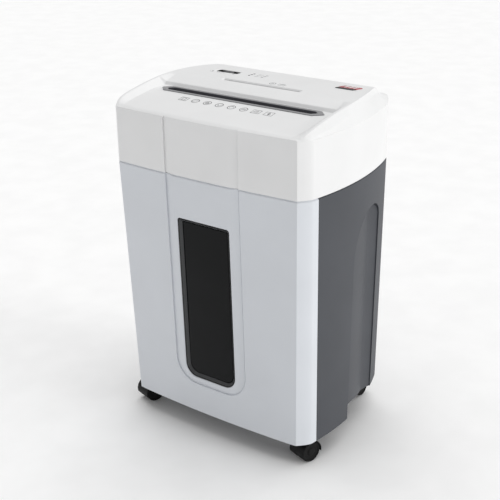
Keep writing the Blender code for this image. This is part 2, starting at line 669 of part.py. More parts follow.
def motor():
    """The motor's can, its fan behind it, the cradle, the capacitor and the sensor pair's head half."""
    x0, x1 = MOTOR_LEFT, PLATE_X - GAP
    can = tube_x("motor_can", [(x0, 12.0), (x0 + 4, MOTOR_R - 2), (x0 + 10, MOTOR_R), (x1 - 6, MOTOR_R),
                               (x1, MOTOR_R - 3)], MOTOR_AXIS, "steel", 20)
    boolean(can, prism_x("can_socket", circle(4.6, 12, MOTOR_AXIS), PLATE_X - 10, 140))
    boolean(can, prism_x("can_tail", circle(3.4, 12, MOTOR_AXIS), 0, 14))
    hub = [(-12.0, 5.0), (-6.0, 5.0), (-6.0, 2.8), (12.0, 2.8)]
    fan = tube_x("motor_fan", hub, MOTOR_AXIS, "black_plastic", 12)
    blades = []
    for n in range(6):
        a = 2 * math.pi * n / 6
        along, across = Vector((math.cos(a), math.sin(a))), Vector((-math.sin(a), math.cos(a)))
        outline = [along * r + across * s for r, s in ((3, -0.8), (21, -0.8), (21, 0.8), (3, 0.8))]
        placed = [(MOTOR_AXIS[0] + p.x, MOTOR_AXIS[1] + p.y) for p in outline]
        blades.append(prism_x(f"fan_blade_{n}", placed, -11.0, -4.0))
    for blade in blades:
        boolean(fan, blade, "UNION")
    cradle = box("motor_cradle", (40, MOTOR_AXIS[0] - 20, Z_SPLIT + 3.2),
                 (80, MOTOR_AXIS[0] + 20, 402), "steel")
    boolean(cradle, prism_x("cradle_cut", circle(MOTOR_R + GAP, 20, MOTOR_AXIS), 30, 90))
    tube_x("motor_capacitor", [(-90.0, 14.0), (-40.0, 14.0)], (MOTOR_AXIS[0], Z_SPLIT + 19.0),
           "black_plastic", 12)
    box("reed_sensor", (-30, Y_FRONT + 11.5, Z_SPLIT - 5.0),
        (-14, Y_FRONT + 17.5, Z_SPLIT - 0.2), "black_plastic")


# ---------------------------------------------------------------- the cabinet

def grip_top(y):
    """Height of the scoop's arch: a quarter ellipse up to its peak and a tighter one down behind."""
    if y < GRIP_PEAK_Y:
        share, shoulder = (GRIP_PEAK_Y - y) / (GRIP_PEAK_Y - GRIP_Y0), GRIP_SHOULDER_FRONT
    else:
        share, shoulder = (y - GRIP_PEAK_Y) / (GRIP_Y1 - GRIP_PEAK_Y), GRIP_SHOULDER_REAR
    return shoulder + (GRIP_PEAK_Z - shoulder) * math.sqrt(max(0.0, 1 - min(1.0, share) ** 2))


def grip_floor_x(y, z):
    share = min(1.0, max(0.0, (y - GRIP_Y0) / (GRIP_Y1 - GRIP_Y0)))
    return side_x(y, z) - GRIP_STEP - GRIP_DEPTH * share ** 1.2


def scoop(name, sign, below_floor, reach, z_low, front_steps=7, rear_steps=5):
    """The scoop as a solid: upright slices from its floor out to the side, or its wall round it."""
    rows = [GRIP_Y0 + (GRIP_PEAK_Y - GRIP_Y0) * (1 - math.cos(math.pi / 2 * i / front_steps))
            for i in range(front_steps)]
    rows += [GRIP_PEAK_Y + (GRIP_Y1 - GRIP_PEAK_Y) * math.sin(math.pi / 2 * i / rear_steps)
             for i in range(rear_steps + 1)]
    rings = []
    for n, y in enumerate(rows):
        top = grip_top(y) + below_floor
        moved = y + below_floor * ((n == len(rows) - 1) - (n == 0))
        inner = [(sign * (grip_floor_x(y, z) - below_floor), moved, z) for z in (z_low, top)]
        outer = [(sign * (side_x(y, z) + reach), moved, z) for z in (top, z_low)]
        rings.append(inner + outer)
    return loft(name, rings)


def side_panel(name, sign):
    """A dark side panel, which wraps round the rear corner, with the scoop let into it."""
    z0, z1 = Z_BOTTOM, Z_SPLIT - 0.9
    paths = []
    for z in (z0, z1):
        lean = front_lean(z)
        whole = right_edge(z, 9, 4, front=False)
        start = Y_FRONT + lean + DOOR_RETURN + 0.7
        end = whole[-1]
        path = [(side_x(start, z), start)] + [p for p in whole if p[1] > start + 3.0]
        path.append((end[0] - 6.0, end[1]))
        paths.append([(sign * x, y) for x, y in path])
    turn = 1 if sign > 0 else -1
    inner = [offset_path(p, turn * WALL) for p in paths]
    panel = wall_from_paths(name, paths[0], paths[1], inner[0], inner[1], z0, z1, "cabinet_dark")
    boolean(panel, scoop(name + "_pocket", sign, WALL, -WALL / 2, Z_BOTTOM + 0.4), "UNION")
    boolean(panel, scoop(name + "_scoop", sign, 0.0, 4.0, Z_BOTTOM - 8.0))
    foot = [(GRIP_Y0, Z_BOTTOM - 8), (Y_BACK + 5, Z_BOTTOM - 8), (Y_BACK + 5, LEG_Z + 7.0),
            (GRIP_Y1, LEG_Z), (GRIP_Y1 - 30.0, LEG_Z + 2.0), (GRIP_Y0 + 8.0, LEG_Z + 10.5),
            (GRIP_Y0, LEG_Z + 10.5)]
    x0, x1 = sorted((sign * 60.0, sign * 180.0))
    boolean(panel, prism_x(name + "_foot", foot, x0, x1))


def cabinet():
    side_panel("cabinet_side_left", -1)
    side_panel("cabinet_side_right", 1)
    low = LEG_Z + 4.0
    ends = [right_edge(z, 2, 4)[-1][0] - 6.0 - 0.5 for z in (low, Z_SPLIT)]
    rings = [[(-half, Y_BACK - WALL, z), (half, Y_BACK - WALL, z), (half, Y_BACK, z), (-half, Y_BACK, z)]
             for half, z in ((ends[0], low), (ends[1], Z_SPLIT - 0.9))]
    back = loft("cabinet_back", rings, "cabinet_dark")
    for n, centre in enumerate(BACK_SCREWS, 1):
        recess = circle(SCREW_R + 0.6, 10, centre)
        boolean(back, prism_y(f"screw_recess_{n}", recess, Y_BACK - SCREW_RECESS, Y_BACK + 5, lean=False))
        rings = [[(x, y, z) for x, z in circle(r, 8, centre)]
                 for y, r in ((Y_BACK - SCREW_RECESS + GAP, SCREW_R), (Y_BACK - GAP, SCREW_R - 1.0))]
        loft(f"back_screw_{n}", rings, "steel")
    front, rear = Y_FRONT + 16.0, Y_BACK - WALL - 1.0
    half = [(138.0, front), (150.0, Y_FRONT + 40.0), (150.0, GRIP_Y0 - 12.0), (92.0, GRIP_Y0 + 12.0),
            (92.0, GRIP_Y1 - 30.0), (116.0, GRIP_Y1 - 8.0), (116.0, rear)]
    outline = half + [(-x, y) for x, y in reversed(half)]
    prism_z("cabinet_base", outline, BASE_Z, BASE_Z + 3.5, "cabinet_dark")
    for name, sign in (("runner_left", -1), ("runner_right", 1)):
        x0, x1 = sorted((sign * 74.0, sign * 88.0))
        box(name, (x0, front + 4.0, BASE_Z + 3.5 + GAP), (x1, rear - 4.0, BIN_Z0 - GAP), "steel")


def cord_gland():
    """The mains gland at the back of the head, where the lead would leave."""
    steps = ((GAP, 9.0), (1.4, 9.0), (1.4, 6.0), (2.4, 5.4))
    rings = [[(x, Y_BACK + out, z) for x, z in circle(r, 12, GLAND_CENTRE)] for out, r in steps]
    loft("cord_gland", rings, "rubber")


# ---------------------------------------------------------------- the drawer

def drawer_front():
    """The pull-out front: bowed, leaning, wrapped round both corners, with the window's opening."""
    z0, z1 = Z_BOTTOM, Z_SPLIT - 1.0
    paths = []
    for z in (z0, z1):
        crease = CREASE_X - TAPER_X * taper(z)
        start = Y_FRONT + front_lean(z) + CHAMFER_Y
        end = Y_FRONT + front_lean(z) + DOOR_RETURN
        half = [(crease * i / 5, front_y(crease * i / 5, z)) for i in range(6)]
        half += [(side_x(start, z), start), (side_x(end, z), end)]
        paths.append([(-x, y) for x, y in reversed(half[1:])] + half)
    inner = [offset_path(p, WALL) for p in paths]
    panel = wall_from_paths("drawer_front", paths[0], paths[1], inner[0], inner[1], z0, z1, "drawer_grey")
    opening = rounded_rectangle(WINDOW_HALF, WINDOW_Z0, WINDOW_Z1, WINDOW_R_LOW, WINDOW_R_TOP)
    boolean(panel, prism_y("window_cut", opening, Y_FRONT - 30, Y_FRONT + 20))


def window():
    """The dark frame that fits the opening and the smoked pane behind it."""
    front, back = Y_FRONT - BOW + 0.9, Y_FRONT - BOW + 6.6
    grow = 4.0
    outer = rounded_rectangle(WINDOW_HALF - GAP, WINDOW_Z0 + GAP, WINDOW_Z1 - GAP,
                              WINDOW_R_LOW, WINDOW_R_TOP)
    flange = rounded_rectangle(WINDOW_HALF + grow, WINDOW_Z0 - grow, WINDOW_Z1 + grow,
                               WINDOW_R_LOW + grow, WINDOW_R_TOP + grow)
    rings = [[(x, y + front_lean(z), z) for x, z in outline]
             for outline, y in ((outer, front), (outer, back - 3.0), (flange, back - 3.0), (flange, back))]
    frame = loft("window_frame", rings, "black_plastic")
    hole = rounded_rectangle(WINDOW_HALF - 2.6, WINDOW_Z0 + 2.6, WINDOW_Z1 - 2.6,
                             WINDOW_R_LOW - 2, WINDOW_R_TOP - 2)
    boolean(frame, prism_y("window_frame_cut", hole, front - 5, back + 5))
    pane = rounded_rectangle(WINDOW_HALF - 2.6 - GAP, WINDOW_Z0 + 2.6 + GAP, WINDOW_Z1 - 2.6 - GAP,
                             WINDOW_R_LOW - 2, WINDOW_R_TOP - 2)
    prism_y("window_pane", pane, front + 2.4, front + 4.6, "smoked")


def waste_bin():
    """The open tub behind the drawer front, and the magnet that tells the head the drawer is in."""
    def tub(name, inset, z0, z1, mat=None):
        low = [(BIN_HALF - 6 - inset, BIN_Y0 + 4 + inset), (BIN_HALF - inset, BIN_Y0 + inset)]
        rings = []
        for (half, y0), z in zip(low, (z0, z1)):
            y1 = BIN_Y1 - inset - (3 if z == z0 else 0)
            rings.append([(-half, y0, z), (half, y0, z), (half, y1, z), (-half, y1, z)])
        return loft(name, rings, mat)

    body = tub("waste_bin", 0.0, BIN_Z0, BIN_Z1, "bin_grey")
    boolean(body, tub("bin_cut", 2.2, BIN_Z0 + 2.4, BIN_Z1 + 0.5))
    box("drawer_magnet", (-30, Y_FRONT - 3.2, Z_SPLIT - 12), (-14, Y_FRONT + 2.8, Z_SPLIT - 7), "steel")
    for name, sign in (("bin_bracket_left", -1), ("bin_bracket_right", 1)):
        rings = []
        for z in (120.0, 210.0, 300.0):
            back = BIN_Y0 + 4.0 * (BIN_Z1 - z) / (BIN_Z1 - BIN_Z0) - GAP
            near, far = sign * 62.0, sign * 108.0
            behind = WALL + 2 * GAP
            rings.append([(near, front_y(near, z) + behind, z), (far, front_y(far, z) + behind, z),
                          (far, back, z), (near, back, z)])
        loft(name, rings, "bin_grey")


# ---------------------------------------------------------------- casters

def caster(name, x, y, heading):
    """A hooded twin-wheel caster: a stem and hood that swivel, and two wheels on one axle."""
    angle = math.radians(heading)
    place = Matrix.Translation((x, y, 0)) @ Matrix.Rotation(angle, 4, "Z")

    def placed(rings):
        return [[tuple(place @ Vector(p)) for p in ring] for ring in rings]

    wheel_x, axle_z = TRAIL, WHEEL_R
    corner_r = WHEEL_R / math.cos(math.pi / WHEEL_SIDES)
    flat_down = -math.pi / 2 + math.pi / WHEEL_SIDES

    def disc(radius, side_y):
        return [(wheel_x + px, side_y, axle_z + pz)
                for px, pz in circle(radius, WHEEL_SIDES, (0, 0), flat_down)]

    outer, inner = WHEEL_IN + WHEEL_W, WHEEL_IN
    profile = ((corner_r - 3, -outer), (corner_r, -outer + 1.5), (corner_r, -inner), (3.0, -inner),
               (3.0, inner), (corner_r, inner), (corner_r, outer - 1.5), (corner_r - 3, outer))
    axle = (x + wheel_x * math.cos(angle), y + wheel_x * math.sin(angle), axle_z)
    loft(f"caster_wheels_{name}", placed([disc(r, across) for r, across in profile]), "rubber", axle)
    dome_r, hood_r, fin_half = corner_r + 0.5, corner_r + 1.7, inner - 0.6

    def arc(radius, low, high, steps):
        angles = [math.radians(low + (high - low) * i / steps) for i in range(steps + 1)]
        return [(wheel_x + radius * math.cos(a), axle_z + radius * math.sin(a)) for a in angles]

    fin_outline = arc(hood_r - 0.5, -8, 188, 9) + [(wheel_x - 9.0, 6.5), (wheel_x + 9.0, 6.5)]
    fin = [[(px, s * fin_half, pz) for px, pz in fin_outline] for s in (-1, 1)]
    hood = loft(f"caster_hood_{name}", placed(fin), "black_plastic", (x, y, BASE_Z))
    dome_outline = arc(hood_r, -14, 190, 12) + list(reversed(arc(dome_r, -14, 190, 12)))
    dome = [[(px, s * (outer + 0.8), pz) for px, pz in dome_outline] for s in (-1, 1)]
    boolean(hood, loft(f"hood_dome_{name}", placed(dome)), "UNION")
    stem = [[(px, py, z) for px, py in circle(r, 10)] for z, r in
            ((28.6, 4.0), (32.1, 8.5), (BASE_Z - GAP, 8.5))]
    boolean(hood, loft(f"stem_{name}", placed(stem)), "UNION")
    bore = [[(wheel_x + px, s * 6.0, axle_z + pz) for px, pz in circle(3.5, 12)] for s in (-1, 1)]
    boolean(hood, loft(f"axle_bore_{name}", placed(bore)))


def main():
    clear_scene()
    head_cover()
    throat_bezel()
    card_chute()
    controls()
    head_base()
    cutting_unit()
    gear_train()
    motor()
    cabinet()
    cord_gland()
    drawer_front()
    window()
    waste_bin()
    for name, (x, y, heading) in CASTERS.items():
        caster(name, x, y, heading)


main()
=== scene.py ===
"""The looks of the paper shredder: fine shells, controls, casters, materials, light and camera.

Lengths are millimetres unless a name ends in _m. The main measures are read from the frame. The side
scoops and the recess in the top are shaped more finely here than in the CAD model.
"""

import json
import math

import bmesh
import bpy
from mathutils import Matrix, Vector

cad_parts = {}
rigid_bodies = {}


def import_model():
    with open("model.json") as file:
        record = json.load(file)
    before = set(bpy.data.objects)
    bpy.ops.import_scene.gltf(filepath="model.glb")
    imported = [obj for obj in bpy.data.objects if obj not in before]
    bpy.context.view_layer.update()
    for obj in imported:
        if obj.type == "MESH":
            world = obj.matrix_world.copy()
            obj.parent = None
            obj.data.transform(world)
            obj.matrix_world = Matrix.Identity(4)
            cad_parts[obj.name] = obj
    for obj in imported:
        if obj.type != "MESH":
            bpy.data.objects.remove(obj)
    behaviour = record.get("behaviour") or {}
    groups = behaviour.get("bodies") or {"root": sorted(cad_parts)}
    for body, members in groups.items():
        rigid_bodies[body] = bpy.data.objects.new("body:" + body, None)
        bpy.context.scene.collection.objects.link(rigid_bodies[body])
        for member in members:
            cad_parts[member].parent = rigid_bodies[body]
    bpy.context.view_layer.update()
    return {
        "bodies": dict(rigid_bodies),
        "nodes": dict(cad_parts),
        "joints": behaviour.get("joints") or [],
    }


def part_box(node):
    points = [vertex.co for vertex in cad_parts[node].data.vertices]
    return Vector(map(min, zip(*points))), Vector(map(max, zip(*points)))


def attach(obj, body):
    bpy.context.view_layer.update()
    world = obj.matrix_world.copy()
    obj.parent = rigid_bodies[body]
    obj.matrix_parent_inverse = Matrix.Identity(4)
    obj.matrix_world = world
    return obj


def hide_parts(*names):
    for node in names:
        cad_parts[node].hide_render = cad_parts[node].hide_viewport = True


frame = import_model()
MM = 0.001


def box_mm(node):
    low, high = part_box(node)
    return [v / MM for v in low], [v / MM for v in high]


# ---------------------------------------------------------------- measures from the frame

HEAD_LOW, HEAD_HIGH = box_mm("head_cover")
DOOR_LOW, DOOR_HIGH = box_mm("drawer_front")
BOW, BOW_HALF = 6.7, 160.0
HALF_MAX = HEAD_HIGH[0]
Y_FRONT = HEAD_LOW[1] + BOW
Y_BACK = HEAD_HIGH[1]
Z_SPLIT = HEAD_LOW[2]
Z_BOTTOM, DOOR_TOP = DOOR_LOW[2], DOOR_HIGH[2]
SIDE_TOP = box_mm("cabinet_side_right")[1][2]

SIDE_R = 380.6              # side arc
SIDE_Y = Y_FRONT + 90.8
ARCH_Z, ARCH_R = 483.8, 570.0       # top arc
ARCH_Y = Y_FRONT + 146.0
FRONT_ROLL, FRONT_DROP = 25.0, 5.0  # it rolls down to the front edge over this depth, by this much
REAR_ROLL, REAR_DROP = 30.0, 4.8
BAND_DROP = 8.0             # height of the bevelled band along each side
BAND_TOP_X, BAND_FOOT_X = 154.0, 163.5
CREASE_X = 146.2            # the front's corners begin here
REAR_CORNER = 18.0          # depth of the rounded rear corners
CORNER_RUN = 17.0           # the corner facet blends into the side over this depth
TAPER_X, TAPER_Y = 7.35, 8.65       # how much the cabinet narrows to the bottom, at a side and in front
Z_EDGE = 459.6              # where the head's walls meet its top
WALL = 2.6
FEED_Z, FEED_SLOPE = 471.4, 0.145   # the feed surface climbs to this height before the throat
Y_SLOT = Y_FRONT + 78.7
THROAT_HALF, THROAT_GAP = 121.0, 6.0
BEZEL_HALF, BEZEL_DEPTH = 133.0, 24.0
BEVEL_LOW, BEVEL_HIGH = 0.905, 0.975    # the recess's side slope, as shares of the top's half width
CUT_LOW, CUT_HIGH = 455.0, 490.0        # the head's openings are cut between these heights
STEP_BACK, RISER_Z = 5.0, 476.4         # depth of the riser behind the throat, and its upper edge
SLOPE_END = Y_FRONT + 118.0
CARD_X, CARD_LEN, CARD_GAP = 2.0, 127.0, 5.2
CARD_Y = Y_FRONT + 124.1
DOOR_RETURN = 25.0          # the drawer front wraps round the corner by this much

# The middle panel of the front: a bevelled border and a groove, round three sides of the window
GROOVE_X, GROOVE_LOW, GROOVE_R = 59.7, 78.0, 34.0
GROOVE_HALF, GROOVE_DEPTH = 0.8, 2.3
BORDER, BORDER_DEPTH = 10.7, 1.9

WINDOW_HALF, WINDOW_Z0, WINDOW_Z1 = 43.2, 88.2, 325.5
WINDOW_R_LOW, WINDOW_R_TOP = 19.0, 4.0

GRIP_Y0, GRIP_PEAK_Y, GRIP_Y1 = Y_FRONT + 106.0, Y_FRONT + 158.0, Y_FRONT + 185.0
GRIP_PEAK_Z, GRIP_SHOULDER_FRONT, GRIP_SHOULDER_REAR = 336.0, 262.0, 314.0
GRIP_STEP, GRIP_DEPTH = 0.8, 11.0
GRIP_TURN = 0.7             # the share of its width where it is deepest
LEG_Z = 45.0                # height of the raised foot behind the scoop

MARK_X, MARK_PITCH, MARK_Y = -71.5, 19.8, Y_FRONT + 52.0    # the row of pictograms

WHEEL_IN, WHEEL_OUT = 3.2, 13.7     # faces of a caster wheel, from the middle of its fin
HOOD_HALF = 14.4

BADGE = box_mm("badge")
SWITCH = box_mm("switch_bezel")
LENS = box_mm("indicator_lens")
LENS_PITCH = 6.1

CAMERA_AZIMUTH, CAMERA_ELEVATION, CAMERA_ROLL = 37.11, 22.48, -0.967    # degrees
CAMERA_PLACE_M, CAMERA_LENS, SENSOR_WIDTH = (0.8199, -1.1038, 0.8166), 75.87, 36.0


# ---------------------------------------------------------------- materials

def new_material(name):
    made = bpy.data.materials.new(name)
    made.use_nodes = True
    nodes = made.node_tree.nodes
    return made, nodes, made.node_tree.links, nodes["Principled BSDF"]


def noise_node(nodes, links, scale, detail=2.0, stretch=None):
    coordinates = nodes.new("ShaderNodeTexCoord")
    source = coordinates.outputs["Object"]
    if stretch:
        mapping = nodes.new("ShaderNodeMapping")
        mapping.inputs["Scale"].default_value = stretch
        links.new(source, mapping.inputs["Vector"])
        source = mapping.outputs["Vector"]
    noise = nodes.new("ShaderNodeTexNoise")
    noise.inputs["Scale"].default_value = scale
    noise.inputs["Detail"].default_value = detail
    links.new(source, noise.inputs["Vector"])
    return noise


def spread(nodes, links, noise, low, high):
    """The noise's middle range mapped to low..high."""
    ramp = nodes.new("ShaderNodeMapRange")
    ramp.inputs["From Min"].default_value = 0.35
    ramp.inputs["From Max"].default_value = 0.65
    ramp.inputs["To Min"].default_value = low
    ramp.inputs["To Max"].default_value = high
    links.new(noise.outputs["Fac"], ramp.inputs["Value"])
    return ramp.outputs["Result"]


def tinted(nodes, links, factor, colour, depth):
    """The colour, darker and lighter by a share, as the factor goes from 0 to 1."""
    mix = nodes.new("ShaderNodeMix")
    mix.data_type = "RGBA"
    mix.inputs["A"].default_value = (*[c * (1 - depth) for c in colour], 1)
    mix.inputs["B"].default_value = (*[min(1.0, c * (1 + depth)) for c in colour], 1)
    links.new(factor, mix.inputs["Factor"])
    return mix.outputs["Result"]


def add_relief(nodes, links, noise, strength, shader):
    """The noise as a fine bump of the surface."""
    bump = nodes.new("ShaderNodeBump")
    bump.inputs["Strength"].default_value = strength
    bump.inputs["Distance"].default_value = 0.0002
    links.new(noise.outputs["Fac"], bump.inputs["Height"])
    links.new(bump.outputs["Normal"], shader.inputs["Normal"])


def moulded(name, colour, roughness, grain=2600.0, relief=0.05, variation=0.015, coat=0.0, gloss=0.5):
    """Moulded plastic: a fine eroded grain in gloss and relief, and a slow trace of colour variation."""
    made, nodes, links, shader = new_material(name)
    fine = noise_node(nodes, links, grain, 3.0)
    slow = noise_node(nodes, links, 14.0, 2.0)
    links.new(tinted(nodes, links, spread(nodes, links, slow, 0.0, 1.0), colour, variation),
              shader.inputs["Base Color"])
    links.new(spread(nodes, links, fine, roughness - 0.04, roughness + 0.05), shader.inputs["Roughness"])
    add_relief(nodes, links, fine, relief, shader)
    shader.inputs["Specular IOR Level"].default_value = gloss
    shader.inputs["Coat Weight"].default_value = coat
    shader.inputs["Coat Roughness"].default_value = 0.12
    return made


def brushed(name, colour, roughness, stretch=(6.0, 700.0, 700.0)):
    """Rolled or ground steel: fine lines along one axis in gloss and relief, and a broad mottle in colour.
    """
    made, nodes, links, shader = new_material(name)
    lines = noise_node(nodes, links, 1.0, 4.0, stretch)
    stain = noise_node(nodes, links, 30.0, 3.0)
    links.new(tinted(nodes, links, spread(nodes, links, stain, 0.0, 1.0), colour, 0.08),
              shader.inputs["Base Color"])
    links.new(spread(nodes, links, lines, roughness - 0.08, roughness + 0.1), shader.inputs["Roughness"])
    add_relief(nodes, links, lines, 0.12, shader)
    shader.inputs["Metallic"].default_value = 1.0
    return made


def smoked_pane(name):
    """Smoked acrylic: nearly black, glossy, with a faint cloudiness."""
    made, nodes, links, shader = new_material(name)
    slow = noise_node(nodes, links, 9.0, 2.0)
    links.new(tinted(nodes, links, spread(nodes, links, slow, 0.0, 1.0), (0.0035, 0.004, 0.0045), 0.25),
              shader.inputs["Base Color"])
    links.new(spread(nodes, links, slow, 0.08, 0.14), shader.inputs["Roughness"])
    shader.inputs["Specular IOR Level"].default_value = 0.13
    return made


SHELL = moulded("shell_white_grain", (0.81, 0.812, 0.815), 0.42, coat=0.06)
DOOR = moulded("drawer_grey_grain", (0.685, 0.71, 0.75), 0.42, coat=0.06)
DARK = moulded("cabinet_charcoal_grain", (0.058, 0.062, 0.072), 0.52, relief=0.09, variation=0.05,
               gloss=0.4)
THROAT = moulded("throat_graphite", (0.075, 0.074, 0.085), 0.38, relief=0.05, variation=0.05)
BEZEL = moulded("throat_rim_grey", (0.24, 0.24, 0.25), 0.38, relief=0.05, variation=0.03)
BLACK = moulded("black_nylon_grain", (0.006, 0.006, 0.0065), 0.42, relief=0.12, variation=0.15, gloss=0.16)
GLOSS_BLACK = moulded("black_gloss", (0.006, 0.006, 0.007), 0.2, relief=0.01, variation=0.1, gloss=0.3)
SMOKED = smoked_pane("smoked_acrylic")
REVEAL = moulded("window_reveal_grey", (0.055, 0.057, 0.06), 0.3, relief=0.02, variation=0.05, gloss=0.4)
RED = moulded("badge_red_gloss", (0.42, 0.035, 0.05), 0.25, relief=0.01, variation=0.03, coat=0.4)
PALE = moulded("badge_pale", (0.78, 0.74, 0.74), 0.3, relief=0.01)
INK = moulded("print_grey", (0.07, 0.072, 0.08), 0.6, relief=0.02)
FAINT_INK = moulded("print_light_grey", (0.17, 0.175, 0.185), 0.6, relief=0.02)
SWITCH_GREY = moulded("switch_grey", (0.11, 0.11, 0.115), 0.4)
LENS_SMOKE = moulded("lens_smoke", (0.03, 0.032, 0.034), 0.12, relief=0.0)
FLOOR = moulded("floor_white", (0.985, 0.985, 0.985), 0.8, grain=300.0, relief=0.0, gloss=0.1)
STEEL = brushed("ground_steel", (0.50, 0.51, 0.53), 0.34)
PLATE = brushed("zinc_plated_sheet", (0.60, 0.61, 0.60), 0.38, (60.0, 60.0, 900.0))
NYLON = moulded("gear_nylon", (0.74, 0.71, 0.62), 0.48, relief=0.05, variation=0.04)
BOARD = moulded("board_green", (0.015, 0.13, 0.055), 0.45, grain=900.0, relief=0.15, variation=0.12)
BIN = moulded("bin_grey_grain", (0.13, 0.135, 0.145), 0.55, relief=0.12, variation=0.05)
RUBBER = moulded("rubber_black", (0.008, 0.008, 0.008), 0.6, grain=1500.0, relief=0.2, variation=0.2,
                 gloss=0.16)


# ---------------------------------------------------------------- mesh helpers

def piece(name, points, faces, material, body, replaces=(), smooth=32.0):
    """A mesh piece from points in millimetres, on its body and in its material slot."""
    mesh = bpy.data.meshes.new(name)
    mesh.from_pydata([Vector(p) * MM for p in points], [], faces)
    bm = bmesh.new()
    bm.from_mesh(mesh)
    bmesh.ops.recalc_face_normals(bm, faces=bm.faces)
    bm.to_mesh(mesh)
    bm.free()
    mesh.shade_smooth()
    mesh.set_sharp_from_angle(angle=math.radians(smooth))
    obj = bpy.data.objects.new(name, mesh)
    bpy.context.scene.collection.objects.link(obj)
    mesh.materials.append(material)
    if body:
        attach(obj, body)
        if replaces:
            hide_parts(*replaces)
    return obj


def loft_faces(count, rings, closed=False):
    """Quads between rings of count points, with end caps unless the last ring joins the first."""
    faces = []
    last = rings if closed else rings - 1
    for r in range(last):
        for i in range(count):
            j = (i + 1) % count
            s = (r + 1) % rings
            faces.append((r * count + i, r * count + j, s * count + j, s * count + i))
    if not closed:
        faces.append(tuple(range(count)))
        faces.append(tuple(range((rings - 1) * count, rings * count)))
    return faces


def loft(name, rings, material=None, body=None, replaces=(), closed=False, smooth=32.0):
    """A solid through rings of equal length: capped at both ends, or closed on itself like a ring."""
    points = [p for ring in rings for p in ring]
    faces = loft_faces(len(rings[0]), len(rings), closed)
    return piece(name, points, faces, material, body, replaces, smooth)


def level(outline, z):
    """An (x, y) outline as a ring at one height."""
    return [(x, y, z) for x, y in outline]


def cut(target, cutters, operation="DIFFERENCE"):
    """Booleans applied at once, so that the piece is a plain mesh and the cutters go."""
    for cutter in cutters:
        made = target.modifiers.new("cut", "BOOLEAN")
        made.operation = operation
        made.object = cutter
    bpy.context.view_layer.update()
    graph = bpy.context.evaluated_depsgraph_get()
    mesh = bpy.data.meshes.new_from_object(target.evaluated_get(graph))
    target.modifiers.clear()
    target.data = mesh
    for cutter in cutters:
        bpy.data.objects.remove(cutter)


def finish_shading(obj, angle=32.0):
    """Smooth faces, sharp edges past the angle, and normals weighted by face area."""
    obj.data.shade_smooth()
    obj.data.set_sharp_from_angle(angle=math.radians(angle))
    weighted = obj.modifiers.new("weighted_normals", "WEIGHTED_NORMAL")
    weighted.keep_sharp = True


def rounded_polygon(corners, radii, steps=4):
    """Corners of a closed (a, b) outline, each rounded by its radius."""
    points = []
    count = len(corners)
    for i, corner in enumerate(corners):
        here, before, after = Vector(corner), Vector(corners[i - 1]), Vector(corners[(i + 1) % count])
        radius = radii[i] if isinstance(radii, (list, tuple)) else radii
        into, out = (here - before).normalized(), (after - here).normalized()
        turn = into.angle(out)
        reach = radius * math.tan(turn / 2)
        first, last = here - into * reach, here + out * reach
        for k in range(steps + 1):
            t = k / steps
            points.append(tuple(first * (1 - t) ** 2 + here * 2 * t * (1 - t) + last * t ** 2))
    return points


def rounded_rectangle(x0, y0, x1, y1, radius, steps=4):
    return rounded_polygon([(x0, y0), (x1, y0), (x1, y1), (x0, y1)], radius, steps)


def circle(radius, sides, centre=(0.0, 0.0)):
    step = 2 * math.pi / sides
    return [(centre[0] + radius * math.cos(i * step), centre[1] + radius * math.sin(i * step))
            for i in range(sides)]


# ---------------------------------------------------------------- the outline

def taper(z):
    """How far down the cabinet z lies, from 0 at the split to 1 at the bottom."""
    return max(0.0, min(1.0, (Z_SPLIT - z) / (Z_SPLIT - Z_BOTTOM)))


def front_lean(z):
    """The front leans back by this much below the head."""
    return TAPER_Y * taper(z)


def side_x(y, z):
    return HALF_MAX - TAPER_X * taper(z) - (y - SIDE_Y) ** 2 / (2 * SIDE_R)


def front_y(x, z):
    return Y_FRONT + front_lean(z) - BOW * (1 - (x / BOW_HALF) ** 2)


def bezier(a, b, c, t):
    return tuple(Vector(a) * (1 - t) ** 2 + Vector(b) * 2 * t * (1 - t) + Vector(c) * t ** 2)


def front_corner(z, steps=8):
    """From the crease round to the side: a facet that blends into the side arc."""
    crease = (CREASE_X - TAPER_X * taper(z), front_y(CREASE_X, z))
    end_y = Y_FRONT + front_lean(z) + CORNER_RUN
    end = (side_x(end_y, z), end_y)
    slope, reach = 0.19, 6.0    # how the side arc arrives there, and how far the knee lies from it
    knee = (end[0] - slope * reach, end_y - reach)
    return [bezier(crease, knee, end, i / steps) for i in range(steps + 1)]


def rear_corner(z, steps=8):
    """From the side round to the back."""
    start_y = Y_BACK - REAR_CORNER
    start = (side_x(start_y, z), start_y)
    slope = (start_y - SIDE_Y) / SIDE_R
    knee = (start[0] - slope * REAR_CORNER, Y_BACK)
    end = (knee[0] - REAR_CORNER, Y_BACK)
    return [bezier(start, knee, end, i / steps) for i in range(steps + 1)]


def offset_path(path, distance):
    """A path of (x, y) moved to the left of its direction."""
    moved = []
    for i, p in enumerate(path):
        here = Vector(p)
        normals = []
        for a, b in ((path[max(i - 1, 0)], p), (p, path[min(i + 1, len(path) - 1)])):
            d = Vector(b) - Vector(a)
            if d.length > 1e-6:
                normals.append(Vector((-d.y, d.x)).normalized())
        mean = (normals[0] + normals[-1]).normalized()
        moved.append(tuple(here + mean * distance / max(0.6, mean.dot(normals[0]))))
    return moved


# ---------------------------------------------------------------- head shell

def arch_z(y):
    """Height of the arched top, which rolls down at the front and at the rear."""
    front = max(0.0, 1 - (y - Y_FRONT) / FRONT_ROLL)
    rear = max(0.0, 1 - (Y_BACK - y) / REAR_ROLL)
    return ARCH_Z - (y - ARCH_Y) ** 2 / (2 * ARCH_R) - FRONT_DROP * front ** 2 - REAR_DROP * rear ** 2


def feed_z(y):
    """Height of the feed surface in front of the throat."""
    return min(FEED_Z, Z_EDGE + 1.2 + FEED_SLOPE * (y - Y_FRONT + BOW))


